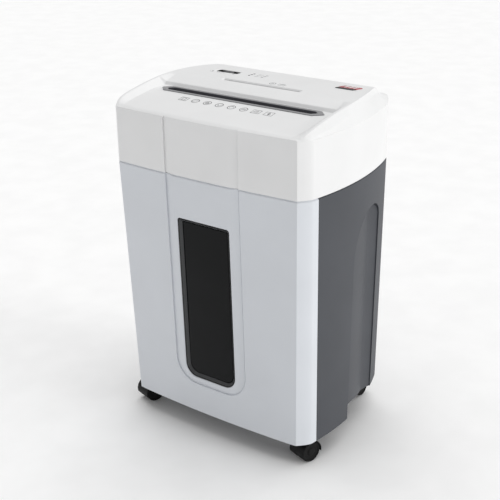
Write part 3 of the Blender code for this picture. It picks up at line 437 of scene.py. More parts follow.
def middle_z(y):
    """The top between the side bevels: the feed surface, the riser behind the throat and the slope."""
    start = Y_SLOT + BEZEL_DEPTH / 2 + 0.5
    if y <= start:
        return feed_z(y)
    if y < start + STEP_BACK:
        share = (y - start) / STEP_BACK
        return FEED_Z + (RISER_Z - FEED_Z) * (3 * share ** 2 - 2 * share ** 3)
    share = min(1.0, (y - start - STEP_BACK) / (SLOPE_END - start - STEP_BACK))
    return RISER_Z + (ARCH_Z - RISER_Z) * share


def band_top_x(y):
    """Where the top ends and the band along the side begins."""
    back = max(0.0, y - Y_FRONT - 85.0)
    front = max(0.0, 1 - (y - Y_FRONT) / FRONT_ROLL)
    return BAND_TOP_X - 0.0017 * back ** 2 - 6.0 * front ** 2


def band_foot_x(y):
    """Where the band along the side meets the shelf above the wall."""
    back = max(0.0, y - Y_FRONT - 40.0)
    return min(side_x(y, Z_SPLIT) - 0.8, BAND_FOOT_X - 0.00115 * back ** 2)


def front_relief(x):
    """How far the front's border and groove lie behind its surface."""
    inner = abs(x) - (GROOVE_X - GROOVE_HALF)
    if abs(abs(x) - GROOVE_X) < GROOVE_HALF - 0.01:
        return GROOVE_DEPTH
    if -BORDER + GROOVE_HALF < inner <= 0.001:
        return BORDER_DEPTH * (1 + inner / (BORDER - GROOVE_HALF))
    return 0.0


def lerp(a, b, t):
    return tuple(p + (q - p) * t for p, q in zip(a, b))


def toward(a, b, distance):
    """The point at a distance from a on the way to b, and at most 0.4 of the way."""
    length = (Vector(b) - Vector(a)).length
    return lerp(a, b, min(0.4, distance / max(length, 1e-6)))


GROOVE_COLUMNS = [GROOVE_X - GROOVE_HALF, GROOVE_X - GROOVE_HALF + 0.05,
                  GROOVE_X + GROOVE_HALF - 0.05, GROOVE_X + GROOVE_HALF]
FIXED_COLUMNS = [0.0, 10.0, 20.0, 30.0, 40.0, GROOVE_X - BORDER] + GROOVE_COLUMNS


def head_columns(limit):
    """x of each column from the middle out: the front's grooves, the recess's bevel, then the edge."""
    start, low, high = FIXED_COLUMNS[-1], BEVEL_LOW * limit, BEVEL_HIGH * limit
    spans = [start + (low - start) * t for t in (0.25, 0.5, 0.75)]
    slope = [low, low + 0.7, high - 0.7, high]
    half = FIXED_COLUMNS + spans + slope + [(high + limit) / 2, limit - 1.2, limit]
    return [-x for x in reversed(half[1:])] + half


def head_outline():
    """(x, y) at the split of each row's end, from the front crease round to the back."""
    slot_front, slot_back = Y_SLOT - BEZEL_DEPTH / 2 - 0.5, Y_SLOT + BEZEL_DEPTH / 2 + 0.5
    front, start = Y_FRONT + CORNER_RUN, slot_back + STEP_BACK
    ys = [front + (slot_front - front) * i / 6 for i in range(1, 7)]
    ys += [Y_SLOT, slot_back, slot_back + 0.8, slot_back + 1.7, start - 1.7, start - 0.8, start]
    ys += [start + (SLOPE_END - start) * share for share in (0.35, 0.7, 0.85, 1.0)]
    ys += [SLOPE_END + (Y_BACK - REAR_CORNER - SLOPE_END) * i / 12 for i in range(1, 13)]
    return front_corner(Z_SPLIT) + [(side_x(y, Z_SPLIT), y) for y in ys] + rear_corner(Z_SPLIT)[1:]


def rear_share(y):
    """0 along the side, then up to 1 through the rear corner."""
    start = rear_corner(Z_SPLIT)[0][1]
    return max(0.0, (y - start) / (Y_BACK - start))


def row_limit(edge, inset):
    """x where the top ends in the row that meets the split at this edge, and the row's y there."""
    share = rear_share(edge[1])
    y = edge[1] - 2.5 * share
    limit = min(band_top_x(y), edge[0] - 2.5 - 4.0 * share) - inset * (0.4 + 0.6 * share)
    return limit, y - inset * share


def top_height(x, y, limit, inset):
    """The arch at the sides, the recess between them, and the slope from one to the other."""
    z = arch_z(y)
    deep = min(z, middle_z(y))
    low, high = BEVEL_LOW * limit, BEVEL_HIGH * limit
    share = min(1.0, max(0.0, (abs(x) - low) / (high - low)))
    return deep + (z - deep) * share - inset


def head_rows(outline, inset):
    """The points of the top, row by row from the front. The front rows follow its bow."""
    rows = []
    for j, edge in enumerate(outline):
        limit, y_edge = row_limit(edge, inset)
        if j == 0:
            limit = CREASE_X - 1.5 - inset
        fade = max(0.0, 1 - (y_edge - Y_FRONT) / 45.0)
        row = []
        for x in head_columns(limit):
            if j == 0:
                y = front_y(x, Z_SPLIT) + 2.8 + inset
            else:
                y = y_edge + fade * (front_y(x, Z_SPLIT) - front_y(limit, Z_SPLIT))
            row.append((x, y, top_height(x, y, limit, inset)))
        rows.append(row)
    return rows


def lifted(point, rise):
    return (point[0], point[1], point[2] + rise)


def below_end(cap, x, at_front, inset):
    """Points from the top's edge down to the wall, at the front or at the back."""
    if at_front:
        relief = 0.0 if inset else front_relief(x)
        y, z, way = front_y(x, Z_SPLIT) + relief + inset, Z_EDGE + 0.9 - inset, 1.0
    else:
        y, z, way = Y_BACK - inset, Z_EDGE + 9.0 - inset, -1.0
    wall = (x, y, z - 0.9)
    fillet = (x, y + way * 0.12, z - 0.35)
    shelf = (x, y + way * 0.45, z + 0.05)
    foot = lifted(lerp(shelf, cap, 0.45), 0.25 if at_front else 0.7)
    shoulder = lifted(lerp(foot, cap, 0.6), 0.08 if at_front else 0.3)
    return [shoulder, foot, lerp(shelf, foot, 0.6), shelf, fillet, wall]


def below_side(cap, sign, edge, is_crease, inset):
    """Points from the top's edge down the bevelled band to the wall, along a side."""
    x_edge, y_edge = edge
    share = rear_share(y_edge)
    rise = 2.0 * max(0.0, y_edge - Y_FRONT) / 225.0 + 7.0 * min(1.0, max(0.0, share * 1.32))
    x = sign * (x_edge - inset * (1 - share * 0.3))
    y = y_edge + (inset if is_crease else -inset * share)
    z = Z_EDGE + rise - inset
    wall = (x, y, z - 0.6)
    fillet = (x - sign * 0.15, y, z - 0.15)
    shelf = (x - sign * 0.6, y, z + 0.1)
    foot_x = min(band_foot_x(y_edge) - inset, abs(x) - 1.0)
    foot_z = min(cap[2] - 0.6, max(arch_z(y) - BAND_DROP, Z_EDGE + 1.3) - inset)
    foot = (sign * foot_x, (y + cap[1]) / 2 if share > 0 else y, max(foot_z, z + 0.15))
    return [toward(cap, foot, 1.2), toward(foot, cap, 1.2), toward(foot, shelf, 1.2), shelf, fillet, wall]


def head_skin(inset):
    """One skin of the shell, moved inwards by the inset. Returns its points, its faces and its rim."""
    outline = head_outline()
    rows = head_rows(outline, inset)
    last_row, last = len(outline) - 1, len(rows[0]) - 1
    points = [p for row in rows for p in row]

    def top_index(j, i):
        return j * (last + 1) + i

    edge_loop = [(0, i, "front") for i in range(last)] + [(j, last, "right") for j in range(last_row)]
    edge_loop += [(last_row, i, "back") for i in range(last, 0, -1)]
    edge_loop += [(j, 0, "left") for j in range(last_row, 0, -1)]
    chains = []
    for j, i, part in edge_loop:
        cap = rows[j][i]
        if part == "front":
            chain = below_end(cap, cap[0], True, inset)
        elif part == "back":
            chain = below_end(cap, cap[0] * outline[j][0] / rows[j][-1][0], False, inset)
        else:
            chain = below_side(cap, 1.0 if part == "right" else -1.0, outline[j], j == 0, inset)
        x, y, _ = chain[-1]
        chain += [(x, y, Z_SPLIT + 0.5), (x * (1 - 0.002), y * (1 - 0.003), Z_SPLIT)]
        chains.append([top_index(j, i)] + list(range(len(points), len(points) + len(chain))))
        points += chain
    faces = [(top_index(j, i), top_index(j, i + 1), top_index(j + 1, i + 1), top_index(j + 1, i))
             for j in range(last_row) for i in range(last)]
    for a, b in zip(chains, chains[1:] + chains[:1]):
        faces += [(a[k], a[k + 1], b[k + 1], b[k]) for k in range(len(a) - 1)]
    return points, faces, [chain[-1] for chain in chains]


def flared_cutter(name, outline, surface, flare, top=12.0):
    """A cutter that leaves a small chamfer where it meets the surface z(y)."""
    count = len(outline)
    centre = Vector((sum(p[0] for p in outline) / count, sum(p[1] for p in outline) / count))

    def grown(amount):
        made = []
        for p in outline:
            d = Vector(p) - centre
            made.append((p[0] + math.copysign(amount, d.x) if abs(d.x) > 0.01 else p[0],
                         p[1] + math.copysign(amount, d.y) if abs(d.y) > 0.01 else p[1]))
        return made

    rings = [level(outline, CUT_LOW),
             [(x, y, surface(y) - flare) for x, y in outline],
             [(x, y, surface(y) + top) for x, y in grown(flare + top)]]
    return loft(name, rings)


def head_shell():
    """The head's shell: an outer and an inner skin joined at the rim, with its openings cut through."""
    outer, faces, rim = head_skin(0.0)
    inner, _, _ = head_skin(WALL)
    shift = len(outer)
    all_faces = list(faces) + [tuple(i + shift for i in reversed(face)) for face in faces]
    for a, b in zip(rim, rim[1:] + rim[:1]):
        all_faces.append((a, b, b + shift, a + shift))
    shell = piece("head_shell", outer + inner, all_faces, SHELL, "cabinet", ["head_cover"])
    slot = rounded_polygon(slot_outline(BEZEL_HALF - 2.0, BEZEL_DEPTH - 4.0), 1.0)
    card = rounded_rectangle(CARD_X - CARD_LEN / 2, CARD_Y - CARD_GAP / 2,
                             CARD_X + CARD_LEN / 2, CARD_Y + CARD_GAP / 2, 1.6)
    (sx0, sy0, _), (sx1, sy1, _) = SWITCH
    switch = rounded_rectangle(sx0 - 0.4, sy0 - 0.4, sx1 + 0.4, sy1 + 0.4, 3.5)
    cutters = [loft("slot_cut", [level(slot, z) for z in (CUT_LOW, CUT_HIGH)]),
               flared_cutter("card_cut", card, arch_z, 1.7),
               flared_cutter("switch_cut", switch, arch_z, 1.2)]
    for n in range(3):
        hole = circle(1.9, 20, lens_centre(n))
        cutters.append(loft(f"lens_cut_{n}", [level(hole, z) for z in (CUT_LOW, CUT_HIGH)]))
    cut(shell, cutters)
    finish_shading(shell, 30.0)


def lens_centre(n):
    (x0, y0, _), (x1, _, _) = LENS
    return (x0 + x1) / 2, y0 + 4.0 + LENS_PITCH * n


def slot_outline(half, depth):
    """The throat's outline: a long slot with pointed ends."""
    point = depth / 2
    y0, y1 = Y_SLOT - depth / 2, Y_SLOT + depth / 2
    return [(-half, Y_SLOT), (-half + point, y0), (half - point, y0),
            (half, Y_SLOT), (half - point, y1), (-half + point, y1)]


# ---------------------------------------------------------------- drawer front

def door_path(z, inset=0.0):
    """The drawer front's outline at a height, from one return round the front to the other."""
    crease = CREASE_X - TAPER_X * taper(z)
    half = [(crease * i / 18, front_y(crease * i / 18, z)) for i in range(18)]
    half += front_corner(z)
    end = Y_FRONT + front_lean(z) + DOOR_RETURN
    half.append((side_x(end, z), end))
    path = [(-x, y) for x, y in reversed(half[1:])] + half
    return offset_path(path, inset) if inset else path


def groove_path():
    """(x, z, outward x, outward z) along the U: down the left, round below the window, up the right."""
    points = [(-GROOVE_X, z, -1.0, 0.0) for z in (Z_SPLIT + 4.0, 300.0, 200.0)]
    for start, cx in ((180.0, -GROOVE_X + GROOVE_R), (270.0, GROOVE_X - GROOVE_R)):
        for i in range(17):
            a = math.radians(start + 90.0 * i / 16)
            points.append((cx + GROOVE_R * math.cos(a), GROOVE_LOW + GROOVE_R + GROOVE_R * math.sin(a),
                           math.cos(a), math.sin(a)))
    points += [(GROOVE_X, z, 1.0, 0.0) for z in (200.0, 300.0, Z_SPLIT + 4.0)]
    return points


def drawer_shell():
    """The drawer's bowed front, with the panel's groove and the window's opening cut into it."""
    levels = [(Z_BOTTOM, 0.5), (Z_BOTTOM + 0.6, 0.0)]
    levels += [(Z_BOTTOM + 0.6 + (DOOR_TOP - Z_BOTTOM - 2.0) * i / 10, 0.0) for i in range(1, 11)]
    levels += [(DOOR_TOP - 1.3, 0.15), (DOOR_TOP + 0.5, 1.7)]
    rings = []
    for z, chamfer in levels:
        outer, inner = door_path(z, chamfer), door_path(z, WALL)
        rings.append([(x, y, z) for x, y in outer + list(reversed(inner))])
    door = loft("drawer_shell", rings, DOOR, "drawer", ["drawer_front"])
    section = [(-BORDER - 0.6, -0.08), (-GROOVE_HALF, BORDER_DEPTH), (-GROOVE_HALF, GROOVE_DEPTH),
               (GROOVE_HALF, GROOVE_DEPTH), (GROOVE_HALF, 0.45), (GROOVE_HALF + 0.6, -0.15),
               (GROOVE_HALF + 0.6, -4.0), (-BORDER - 0.6, -4.0)]
    rings = []
    for x, z, nx, nz in groove_path():
        rings.append([(x + nx * s, front_y(x + nx * s, z + nz * s) + d, z + nz * s) for s, d in section])
    groove = loft("groove_cut", rings)
    rings = []
    for grow, y in ((0.0, Y_FRONT + 20.0), (0.0, Y_FRONT - BOW + 0.9), (6.9, Y_FRONT - BOW - 6.0)):
        rings.append([(x, y + front_lean(z), z) for x, z in window_outline(grow)])
    cut(door, [groove, loft("window_cut", rings)])
    finish_shading(door, 28.0)


def window_outline(grow, steps=10):
    """The window's (x, z) outline, grown by an amount: tight corners above and wide ones below."""
    half, z0, z1 = WINDOW_HALF + grow, WINDOW_Z0 - grow, WINDOW_Z1 + grow
    low, top = WINDOW_R_LOW + grow, WINDOW_R_TOP + max(grow, -3.0)
    points = []
    corners = ((half, z0, low, -90), (half, z1, top, 0), (-half, z1, top, 90), (-half, z0, low, 180))
    for x, z, r, start in corners:
        cx, cz = x - math.copysign(r, x), (z + r if z == z0 else z - r)
        points += [(cx + r * math.cos(math.radians(start + 90.0 * i / steps)),
                    cz + r * math.sin(math.radians(start + 90.0 * i / steps))) for i in range(steps + 1)]
    return points


def window():
    """A black frame with a grey sloping reveal, and the smoked pane set back in it."""
    front = Y_FRONT - BOW + 0.55

    def ring(grow, depth):
        return [(x, front + depth + front_lean(z), z) for x, z in window_outline(grow)]

    frame_rings = [ring(-0.3, 0.7), ring(-0.6, 0.2), ring(-1.1, 0.0), ring(-1.7, 0.15), ring(-2.1, 0.6),
                   ring(-5.2, 4.1), ring(-5.6, 5.6), ring(3.6, 5.6), ring(3.8, 3.2), ring(-0.25, 3.1)]
    bezel = loft("window_bezel", frame_rings, GLOSS_BLACK, "drawer", ["window_frame"],
                 closed=True)
    bezel.data.materials.append(REVEAL)
    count, slope = len(frame_rings[0]), 4
    for polygon in bezel.data.polygons:
        if polygon.index // count == slope:
            polygon.material_index = 1
    pane = [ring(-5.9, 5.5), ring(-5.9, 4.2), ring(-6.3, 3.9), ring(-8.0, 3.8)]
    loft("window_acrylic", pane, SMOKED, "drawer", ["window_pane"])


# ---------------------------------------------------------------- side panels

def grip_top(y):
    """Height of the scoop's arch: a quarter ellipse up to its peak and a tighter one down behind."""
    if y < GRIP_PEAK_Y:
        share, shoulder = (GRIP_PEAK_Y - y) / (GRIP_PEAK_Y - GRIP_Y0), GRIP_SHOULDER_FRONT
    else:
        share, shoulder = (y - GRIP_PEAK_Y) / (GRIP_Y1 - GRIP_PEAK_Y), GRIP_SHOULDER_REAR
    return shoulder + (GRIP_PEAK_Z - shoulder) * math.sqrt(max(0.0, 1 - min(1.0, share) ** 2))


def grip_floor_x(y, z):
    """The scoop deepens to the rear and eases out again, to a small step at its rear edge."""
    share = min(1.0, max(0.0, (y - GRIP_Y0) / (GRIP_Y1 - GRIP_Y0)))
    ease = max(0.0, share - GRIP_TURN) / (1 - GRIP_TURN)
    depth = GRIP_DEPTH * min(share, GRIP_TURN) ** 1.2
    return side_x(y, z) - GRIP_STEP - depth + (depth - GRIP_STEP) * ease ** 1.5


def scoop(name, sign, below_floor, reach, z_low, front_steps=26, rear_steps=16):
    """The scoop as a solid: upright slices from its floor out to the side, or its wall round it."""
    rows = [GRIP_Y0 + (GRIP_PEAK_Y - GRIP_Y0) * (1 - math.cos(math.pi / 2 * i / front_steps))
            for i in range(front_steps)]
    rows += [GRIP_PEAK_Y + (GRIP_Y1 - GRIP_PEAK_Y) * math.sin(math.pi / 2 * i / rear_steps)
             for i in range(rear_steps + 1)]
    rings = []
    for n, y in enumerate(rows):
        top = grip_top(y) + below_floor
        moved = y + below_floor * ((n == len(rows) - 1) - (n == 0))
        inner = [(sign * (grip_floor_x(y, z) - below_floor), moved, z) for z in (z_low, top)]
        outer = [(sign * (side_x(y, z) + reach), moved, z) for z in (top, z_low)]
        rings.append(inner + outer)
    return loft(name, rings)


def side_path(z, inset=0.0):
    """The side panel's outline at a height, from the drawer's edge round the rear corner."""
    start = Y_FRONT + front_lean(z) + DOOR_RETURN + 0.7
    end = Y_BACK - REAR_CORNER
    steps = 24
    ys = [start + (end - start) * i / steps for i in range(steps)]
    path = [(side_x(y, z), y) for y in ys] + rear_corner(z, 12)
    path.append((path[-1][0] - 6.0, path[-1][1]))
    return offset_path(path, inset) if inset else path


def side_shell(side, sign):
    """A dark side panel with the scoop let into it and its foot raised behind."""
    levels = [(Z_BOTTOM, 0.5), (Z_BOTTOM + 0.6, 0.0), (SIDE_TOP - 0.8, 0.0), (SIDE_TOP, 0.7)]
    rings = []
    for z, chamfer in levels:
        outer, inner = side_path(z, chamfer), side_path(z, WALL)
        rings.append([(sign * x, y, z) for x, y in outer + list(reversed(inner))])
    shell = loft(f"side_shell_{side}", rings, DARK, "cabinet", [f"cabinet_side_{side}"])
    cut(shell, [scoop("pocket", sign, WALL, -WALL / 2, Z_BOTTOM + 0.4)], "UNION")
    foot = [(GRIP_Y0, Z_BOTTOM - 8), (Y_BACK + 5, Z_BOTTOM - 8), (Y_BACK + 5, LEG_Z + 7.0),
            (GRIP_Y1, LEG_Z), (GRIP_Y1 - 30.0, LEG_Z + 2.0), (GRIP_Y0 + 8.0, LEG_Z + 10.5),
            (GRIP_Y0, LEG_Z + 10.5)]
    foot = rounded_polygon(foot, [0.2, 0.2, 0.2, 8.0, 12.0, 6.0, 1.5])
    cut(shell, [scoop("scoop", sign, 0.0, 4.0, Z_BOTTOM - 8.0),
                loft("foot", [[(x, y, z) for y, z in foot] for x in (sign * 60.0, sign * 180.0)])])
    finish_shading(shell, 24.0)


# ---------------------------------------------------------------- throat, controls and marks

def throat():
    """The throat's rim and funnel as one ring of sections round the slot."""
    lip = FEED_Z + 0.35

    def ring(half, depth, z, radius):
        return [(x, y, z) for x, y in rounded_polygon(slot_outline(half, depth), radius, 5)]

    foot = 448.0
    outer = [ring(BEZEL_HALF - 3.0, BEZEL_DEPTH - 6.0, foot, 1.5),
             ring(BEZEL_HALF - 3.0, BEZEL_DEPTH - 6.0, lip, 2.0),
             ring(BEZEL_HALF - 0.1, BEZEL_DEPTH - 0.2, lip, 2.0),
             ring(BEZEL_HALF - 0.3, BEZEL_DEPTH - 0.6, lip + 0.5, 2.0),
             ring(BEZEL_HALF - 1.2, BEZEL_DEPTH - 2.2, lip + 0.8, 2.0)]
    inner = [ring(THROAT_HALF + 1.6, THROAT_GAP + 7.4, lip + 0.6, 2.0),
             ring(THROAT_HALF + 1.0, THROAT_GAP + 6.4, lip + 0.1, 2.0),
             ring(THROAT_HALF + 0.6, THROAT_GAP + 3.0, foot + 13.0, 1.5),
             ring(THROAT_HALF + 0.2, THROAT_GAP + 0.4, foot + 7.0, 0.8),
             ring(THROAT_HALF, THROAT_GAP, foot, 0.6)]
    rim = loft("throat_ring", outer + inner, BEZEL, "cabinet", ["throat_bezel"],
               closed=True, smooth=35)
    rim.data.materials.append(THROAT)
    for polygon in rim.data.polygons:
        centre = polygon.center / MM
        if abs(centre.y - Y_SLOT) < THROAT_GAP + 0.6 and abs(centre.x) < THROAT_HALF + 1.3:
            polygon.material_index = 1


def strokes(name, paths, width, surface, material, lift=0.06):
    """Printed marks: flat ribbons that follow paths of (x, y) on a surface z(y)."""
    points, faces = [], []
    for path, closed in paths:
        count = len(path)
        first = len(points)
        for i, p in enumerate(path):
            before = Vector(path[i - 1] if closed or i else path[0])
            after = Vector(path[(i + 1) % count] if closed or i < count - 1 else path[-1])
            d = (after - before).normalized()
            side = Vector((-d.y, d.x)) * width / 2
            for q in (Vector(p) + side, Vector(p) - side):
                points.append((q.x, q.y, surface(q.y) + lift))
                points.append((q.x, q.y, surface(q.y) - 0.1))
        for i in range(count if closed else count - 1):
            a, b = first + 4 * i, first + 4 * ((i + 1) % count)
            faces += [(a, b, b + 2, a + 2), (a + 1, a + 3, b + 3, b + 1),
                      (a, a + 1, b + 1, b), (a + 2, b + 2, b + 3, a + 3)]
        if not closed:
            end = first + 4 * (count - 1)
            faces += [(first, first + 2, first + 3, first + 1), (end, end + 1, end + 3, end + 2)]
    return piece(name, points, faces, material, "cabinet", smooth=20)


# Each of these three gives one stroke: its points, and whether it closes on itself.
def line(*points):
    return (list(points), False)


def arc(cx, cy, r, start=0.0, end=360.0, steps=20):
    full = end - start >= 360.0
    count = steps if full else steps + 1
    angles = [math.radians(start + (end - start) * i / steps) for i in range(count)]
    return ([(cx + r * math.cos(a), cy + r * math.sin(a)) for a in angles], full)


def rectangle(cx, cy, w, h):
    x0, x1, y0, y1 = cx - w / 2, cx + w / 2, cy - h / 2, cy + h / 2
    return ([(x0, y0), (x1, y0), (x1, y1), (x0, y1)], True)


def feed_marks():
    """A row of eight plain outline pictograms in front of the throat."""
    fills = [[rectangle(0, 0, 4.4, 5.6)], [line((-2.6, -2.6), (2.6, 2.6))],
             [arc(0, 0, 2.0), line((-2.8, 0), (2.8, 0))], [line((-2.8, 1.6), (0, -2.4), (2.8, 1.6))],
             [arc(0, 0, 2.4, 20, 200)], [line((-2.6, -1), (2.6, -1)), line((-2.6, 1.4), (2.6, 1.4))],
             [rectangle(0, 0, 5.4, 3.0)], [arc(0, 0, 1.4), line((0, -3.0), (0, 3.0))]]
    paths = []
    for n, fill in enumerate(fills):
        x = MARK_X + n * MARK_PITCH
        framed = n in (0, 6, 7)
        paths.append(rectangle(x, MARK_Y, 12.5, 9.6) if framed else arc(x, MARK_Y, 5.4))
        for path, closed in fill:
            paths.append(([(x + a * 1.15, MARK_Y + b * 1.15) for a, b in path], closed))
    strokes("feed_pictograms", paths, 0.9, feed_z, INK)


def control_marks():
    """Plain lines and rings by the switch, the lenses and the card slot."""
    (x0, y0, _), (x1, _, _) = SWITCH
    middle = (x0 + x1) / 2
    front = y0 - 6.0
    paths = [line((x0 - 5, front), (x0 + 1, front)), line((middle - 5, front), (middle + 3, front)),
             line((x1 - 3, front), (x1 + 1, front)), arc(x0 - 2, front + 3.4, 1.2, steps=12),
             line((x0 + 7, front), (x0 + 13, front))]
    lens_x = lens_centre(0)[0]
    for n in range(3):
        y = lens_centre(n)[1]
        paths += [line((lens_x + 8, y), (lens_x + 16 + 2 * (n % 2), y)), arc(lens_x + 22, y, 1.5, steps=12)]
    card_y = CARD_Y + 13.0
    paths += [arc(12.0, card_y, 4.4), arc(12.0, card_y, 1.3, steps=12),
              rectangle(27.0, card_y, 10.0, 6.4),
              line((23.0, card_y + 1.2), (31.0, card_y + 1.2))]
    strokes("control_marks", paths, 0.7, arch_z, FAINT_INK)


def badge():
    """A plain badge: a dark foot, a red slanted plate and three pale bars."""
    (x0, y0, _), (x1, y1, _) = BADGE
    slant = 3.0

    def plate(low_x, high_x, low_y, high_y, top):
        def corners(i):
            return rounded_polygon([(low_x + i, low_y + i), (high_x - slant - i, low_y + i),
                                    (high_x - i, high_y - i), (low_x + slant + i, high_y - i)], 0.8, 3)
        steps = ((0.0, 0.05), (0.0, top - 0.2), (0.5, top))
        return [[(x, y, arch_z(y) + z) for x, y in corners(i)] for i, z in steps]

    middle = y0 + 5.6
    loft("badge_foot", plate(x0, x1 - 1.6, y0, middle - 0.1, 0.85), GLOSS_BLACK, "cabinet")
    loft("badge_plate", plate(x0 + 1.6, x1, middle + 0.1, y1, 1.0), RED, "cabinet", ["badge"])
    for n in range(3):
        cx = x0 + 9.0 + 6.5 * n
        outline = [(cx, middle + 2.2), (cx + 3.6, middle + 2.2), (cx + 5.4, y1 - 2.2), (cx + 1.8, y1 - 2.2)]
        rings = [[(x, y, arch_z(y) + z) for x, y in outline] for z in (0.9, 1.12)]
        loft(f"badge_bar_{n + 1}", rings, PALE, "cabinet")


def switch_parts():
    """The switch's raised surround, the floor of its well and the ribbed slider."""
    (x0, y0, z0), (x1, y1, z1) = SWITCH
    surface = z1 + 0.6

    def ring(inset, z, radius):
        return level(rounded_rectangle(x0 + inset, y0 + inset, x1 - inset, y1 - inset, radius, 5), z)

    low = surface - 5.0
    rim = [ring(0.1, z0 + 0.4, 3.0), ring(0.1, z1 - 0.5, 3.0), ring(0.6, z1, 2.8), ring(1.2, z1 - 0.1, 2.4),
           ring(1.5, z1 - 0.8, 2.0), ring(1.5, low, 2.0), ring(1.5, low - 0.4, 2.0),
           ring(0.1, low - 0.5, 3.0)]
    loft("switch_surround", rim, GLOSS_BLACK, "cabinet", ["switch_bezel"], closed=True)
    floor = [ring(0.1, z0, 3.0), ring(0.1, low - 0.2, 3.0), ring(1.5, low, 2.0)]
    loft("switch_floor", floor, GLOSS_BLACK, "cabinet")
    (kx0, ky0, kz0), (kx1, ky1, kz1) = box_mm("switch_knob")
    profile = [(kx0, kz0), (kx1, kz0), (kx1, kz1 - 1.6)]
    ribs = 7
    for n in range(ribs):
        centre = kx1 - 1.0 - (kx1 - kx0 - 2.0) * (n + 0.5) / ribs
        dish = 0.5 * (1 - abs(centre - (kx0 + kx1) / 2) / 7.0)
        foot, crest = kz1 - 0.9 - dish, kz1 - 0.15 - dish
        profile += [(centre + 0.62, foot), (centre + 0.3, crest),
                    (centre - 0.3, crest), (centre - 0.62, foot)]
    profile.append((kx0, kz1 - 1.6))
    rings = []
    for y, shrink in ((ky0, 0.4), (ky0 + 0.4, 0.0), (ky1 - 0.4, 0.0), (ky1, 0.4)):
        rings.append([(x, y, min(z, kz1 - shrink)) for x, z in profile])
    loft("switch_slider", rings, SWITCH_GREY, "switch", ["switch_knob"])


def lenses():
    """Three small domes in the indicator's holes."""
    for n in range(3):
        centre = lens_centre(n)
        top = arch_z(centre[1])
        rings = [[(x, y, top + z) for x, y in circle(r, 20, centre)]
                 for z, r in ((-2.0, 1.7), (-0.1, 1.7), (0.15, 1.4), (0.28, 0.9), (0.32, 0.2))]
        loft(f"indicator_dome_{n + 1}", rings, LENS_SMOKE, "cabinet")


# ---------------------------------------------------------------- casters

def caster_parts():
    """Each caster in its own heading, read from the frame's joints."""
    for body in sorted(frame["bodies"]):
        if not body.startswith("caster_"):
            continue
        name = body[len("caster_"):]
        joints = {j["name"]: j for j in frame["joints"]}
        pivot = Vector(joints[f"caster_swivel_{name}"]["pos_m"]) / MM
        axle = Vector(joints[f"wheel_roll_{name}"]["pos_m"]) / MM
        along = Vector((axle.x - pivot.x, axle.y - pivot.y, 0)).normalized()
        across = Vector((-along.y, along.x, 0))
        build_caster(name, axle, along, across, pivot)


def build_caster(name, axle, along, across, pivot):
    """Two wheels on an axle under a hood, whose web and stem join it to the cabinet's base."""
    tread, inner, outer = axle.z, WHEEL_IN, WHEEL_OUT

    def at(a, s, z):
        """a along the heading from the axle, s across, z above the axle."""
        return tuple(axle + along * a + across * s + Vector((0, 0, z)))

    def turned(r, s, sides):
        return [at(a, s, z) for a, z in circle(r, sides)]

    for sign, label in ((-1, "left"), (1, "right")):
        profile = [(inner + 0.1, 3.6), (inner, 6.0), (inner, tread - 1.6), (inner + 0.5, tread - 0.5),
                   (inner + 1.6, tread), (outer - 2.4, tread), (outer - 1.1, tread - 0.5),
                   (outer - 0.4, tread - 1.8), (outer - 0.5, tread - 3.0), (outer - 1.6, tread - 3.8),
                   (outer - 1.8, 6.0), (outer - 0.6, 5.2), (outer - 0.2, 4.4), (outer - 0.2, 1.2)]
        rings = [turned(r, sign * s, 48) for s, r in profile]
        replaced = [f"caster_wheels_{name}"] if sign > 0 else ()
        loft(f"wheel_{name}_{label}", rings, RUBBER, f"wheels_{name}", replaced)
    axle_rings = [turned(2.6, s, 24) for s in (-inner - 0.4, inner + 0.4)]
    loft(f"axle_{name}", axle_rings, STEEL, f"wheels_{name}")
    hood_r, shell_r = tread + 1.8, tread + 0.65
    low, high, steps = -14.0, 190.0, 28
    half_section = [(HOOD_HALF, shell_r), (HOOD_HALF, hood_r - 0.7), (HOOD_HALF - 0.6, hood_r - 0.15),
                    (HOOD_HALF - 1.8, hood_r)]
    section = [(-s, r) for s, r in half_section] + half_section[::-1]
    rings = []
    for i in range(steps + 1):
        a = math.radians(low + (high - low) * i / steps)
        rings.append([at(r * math.cos(a), s, r * math.sin(a)) for s, r in section])
    hood = loft(f"hood_{name}", rings, BLACK, f"caster_{name}", [f"caster_hood_{name}"],
                smooth=40)
    fin_r = hood_r - 0.6
    angles = [math.radians(a) for a in range(-8, 189, 7)]
    outline = [(fin_r * math.cos(a), fin_r * math.sin(a)) for a in angles]
    outline += [(-9.0, -8.5), (-6.0, -10.5), (6.0, -10.5), (9.0, -8.5)]
    web = loft("web", [[at(a, s, z) for a, z in outline] for s in (-2.5, 2.5)])
    base_z = pivot.z - 0.35
    stem_steps = ((4.0, 28.6), (8.4, 32.0), (8.4, base_z - 0.5), (7.9, base_z))
    stem = loft("stem", [level(circle(r, 28, (pivot.x, pivot.y)), z) for r, z in stem_steps])
    cut(hood, [web, stem], "UNION")
    cut(hood, [loft("bore", [turned(3.0, s, 24) for s in (-6.0, 6.0)])])
    finish_shading(hood, 38.0)


# ---------------------------------------------------------------- back and inside

def gland():
    """The stepped rubber gland where the mains lead would leave."""
    low, high = box_mm("cord_gland")
    cx, cz = (low[0] + high[0]) / 2, (low[2] + high[2]) / 2

    def ring(r, y):
        return [(x, y, z) for x, z in circle(r, 40, (cx, cz))]

    face, end = low[1], high[1]
    rings = [ring(9.0, face), ring(9.0, face + 0.6), ring(8.4, face + 1.1), ring(6.4, face + 1.2),
             ring(6.2, face + 1.9), ring(5.6, end), ring(4.0, end), ring(3.7, end - 0.4),
             ring(3.6, face + 0.4)]
    loft("mains_gland", rings, RUBBER, "cabinet", ["cord_gland"])


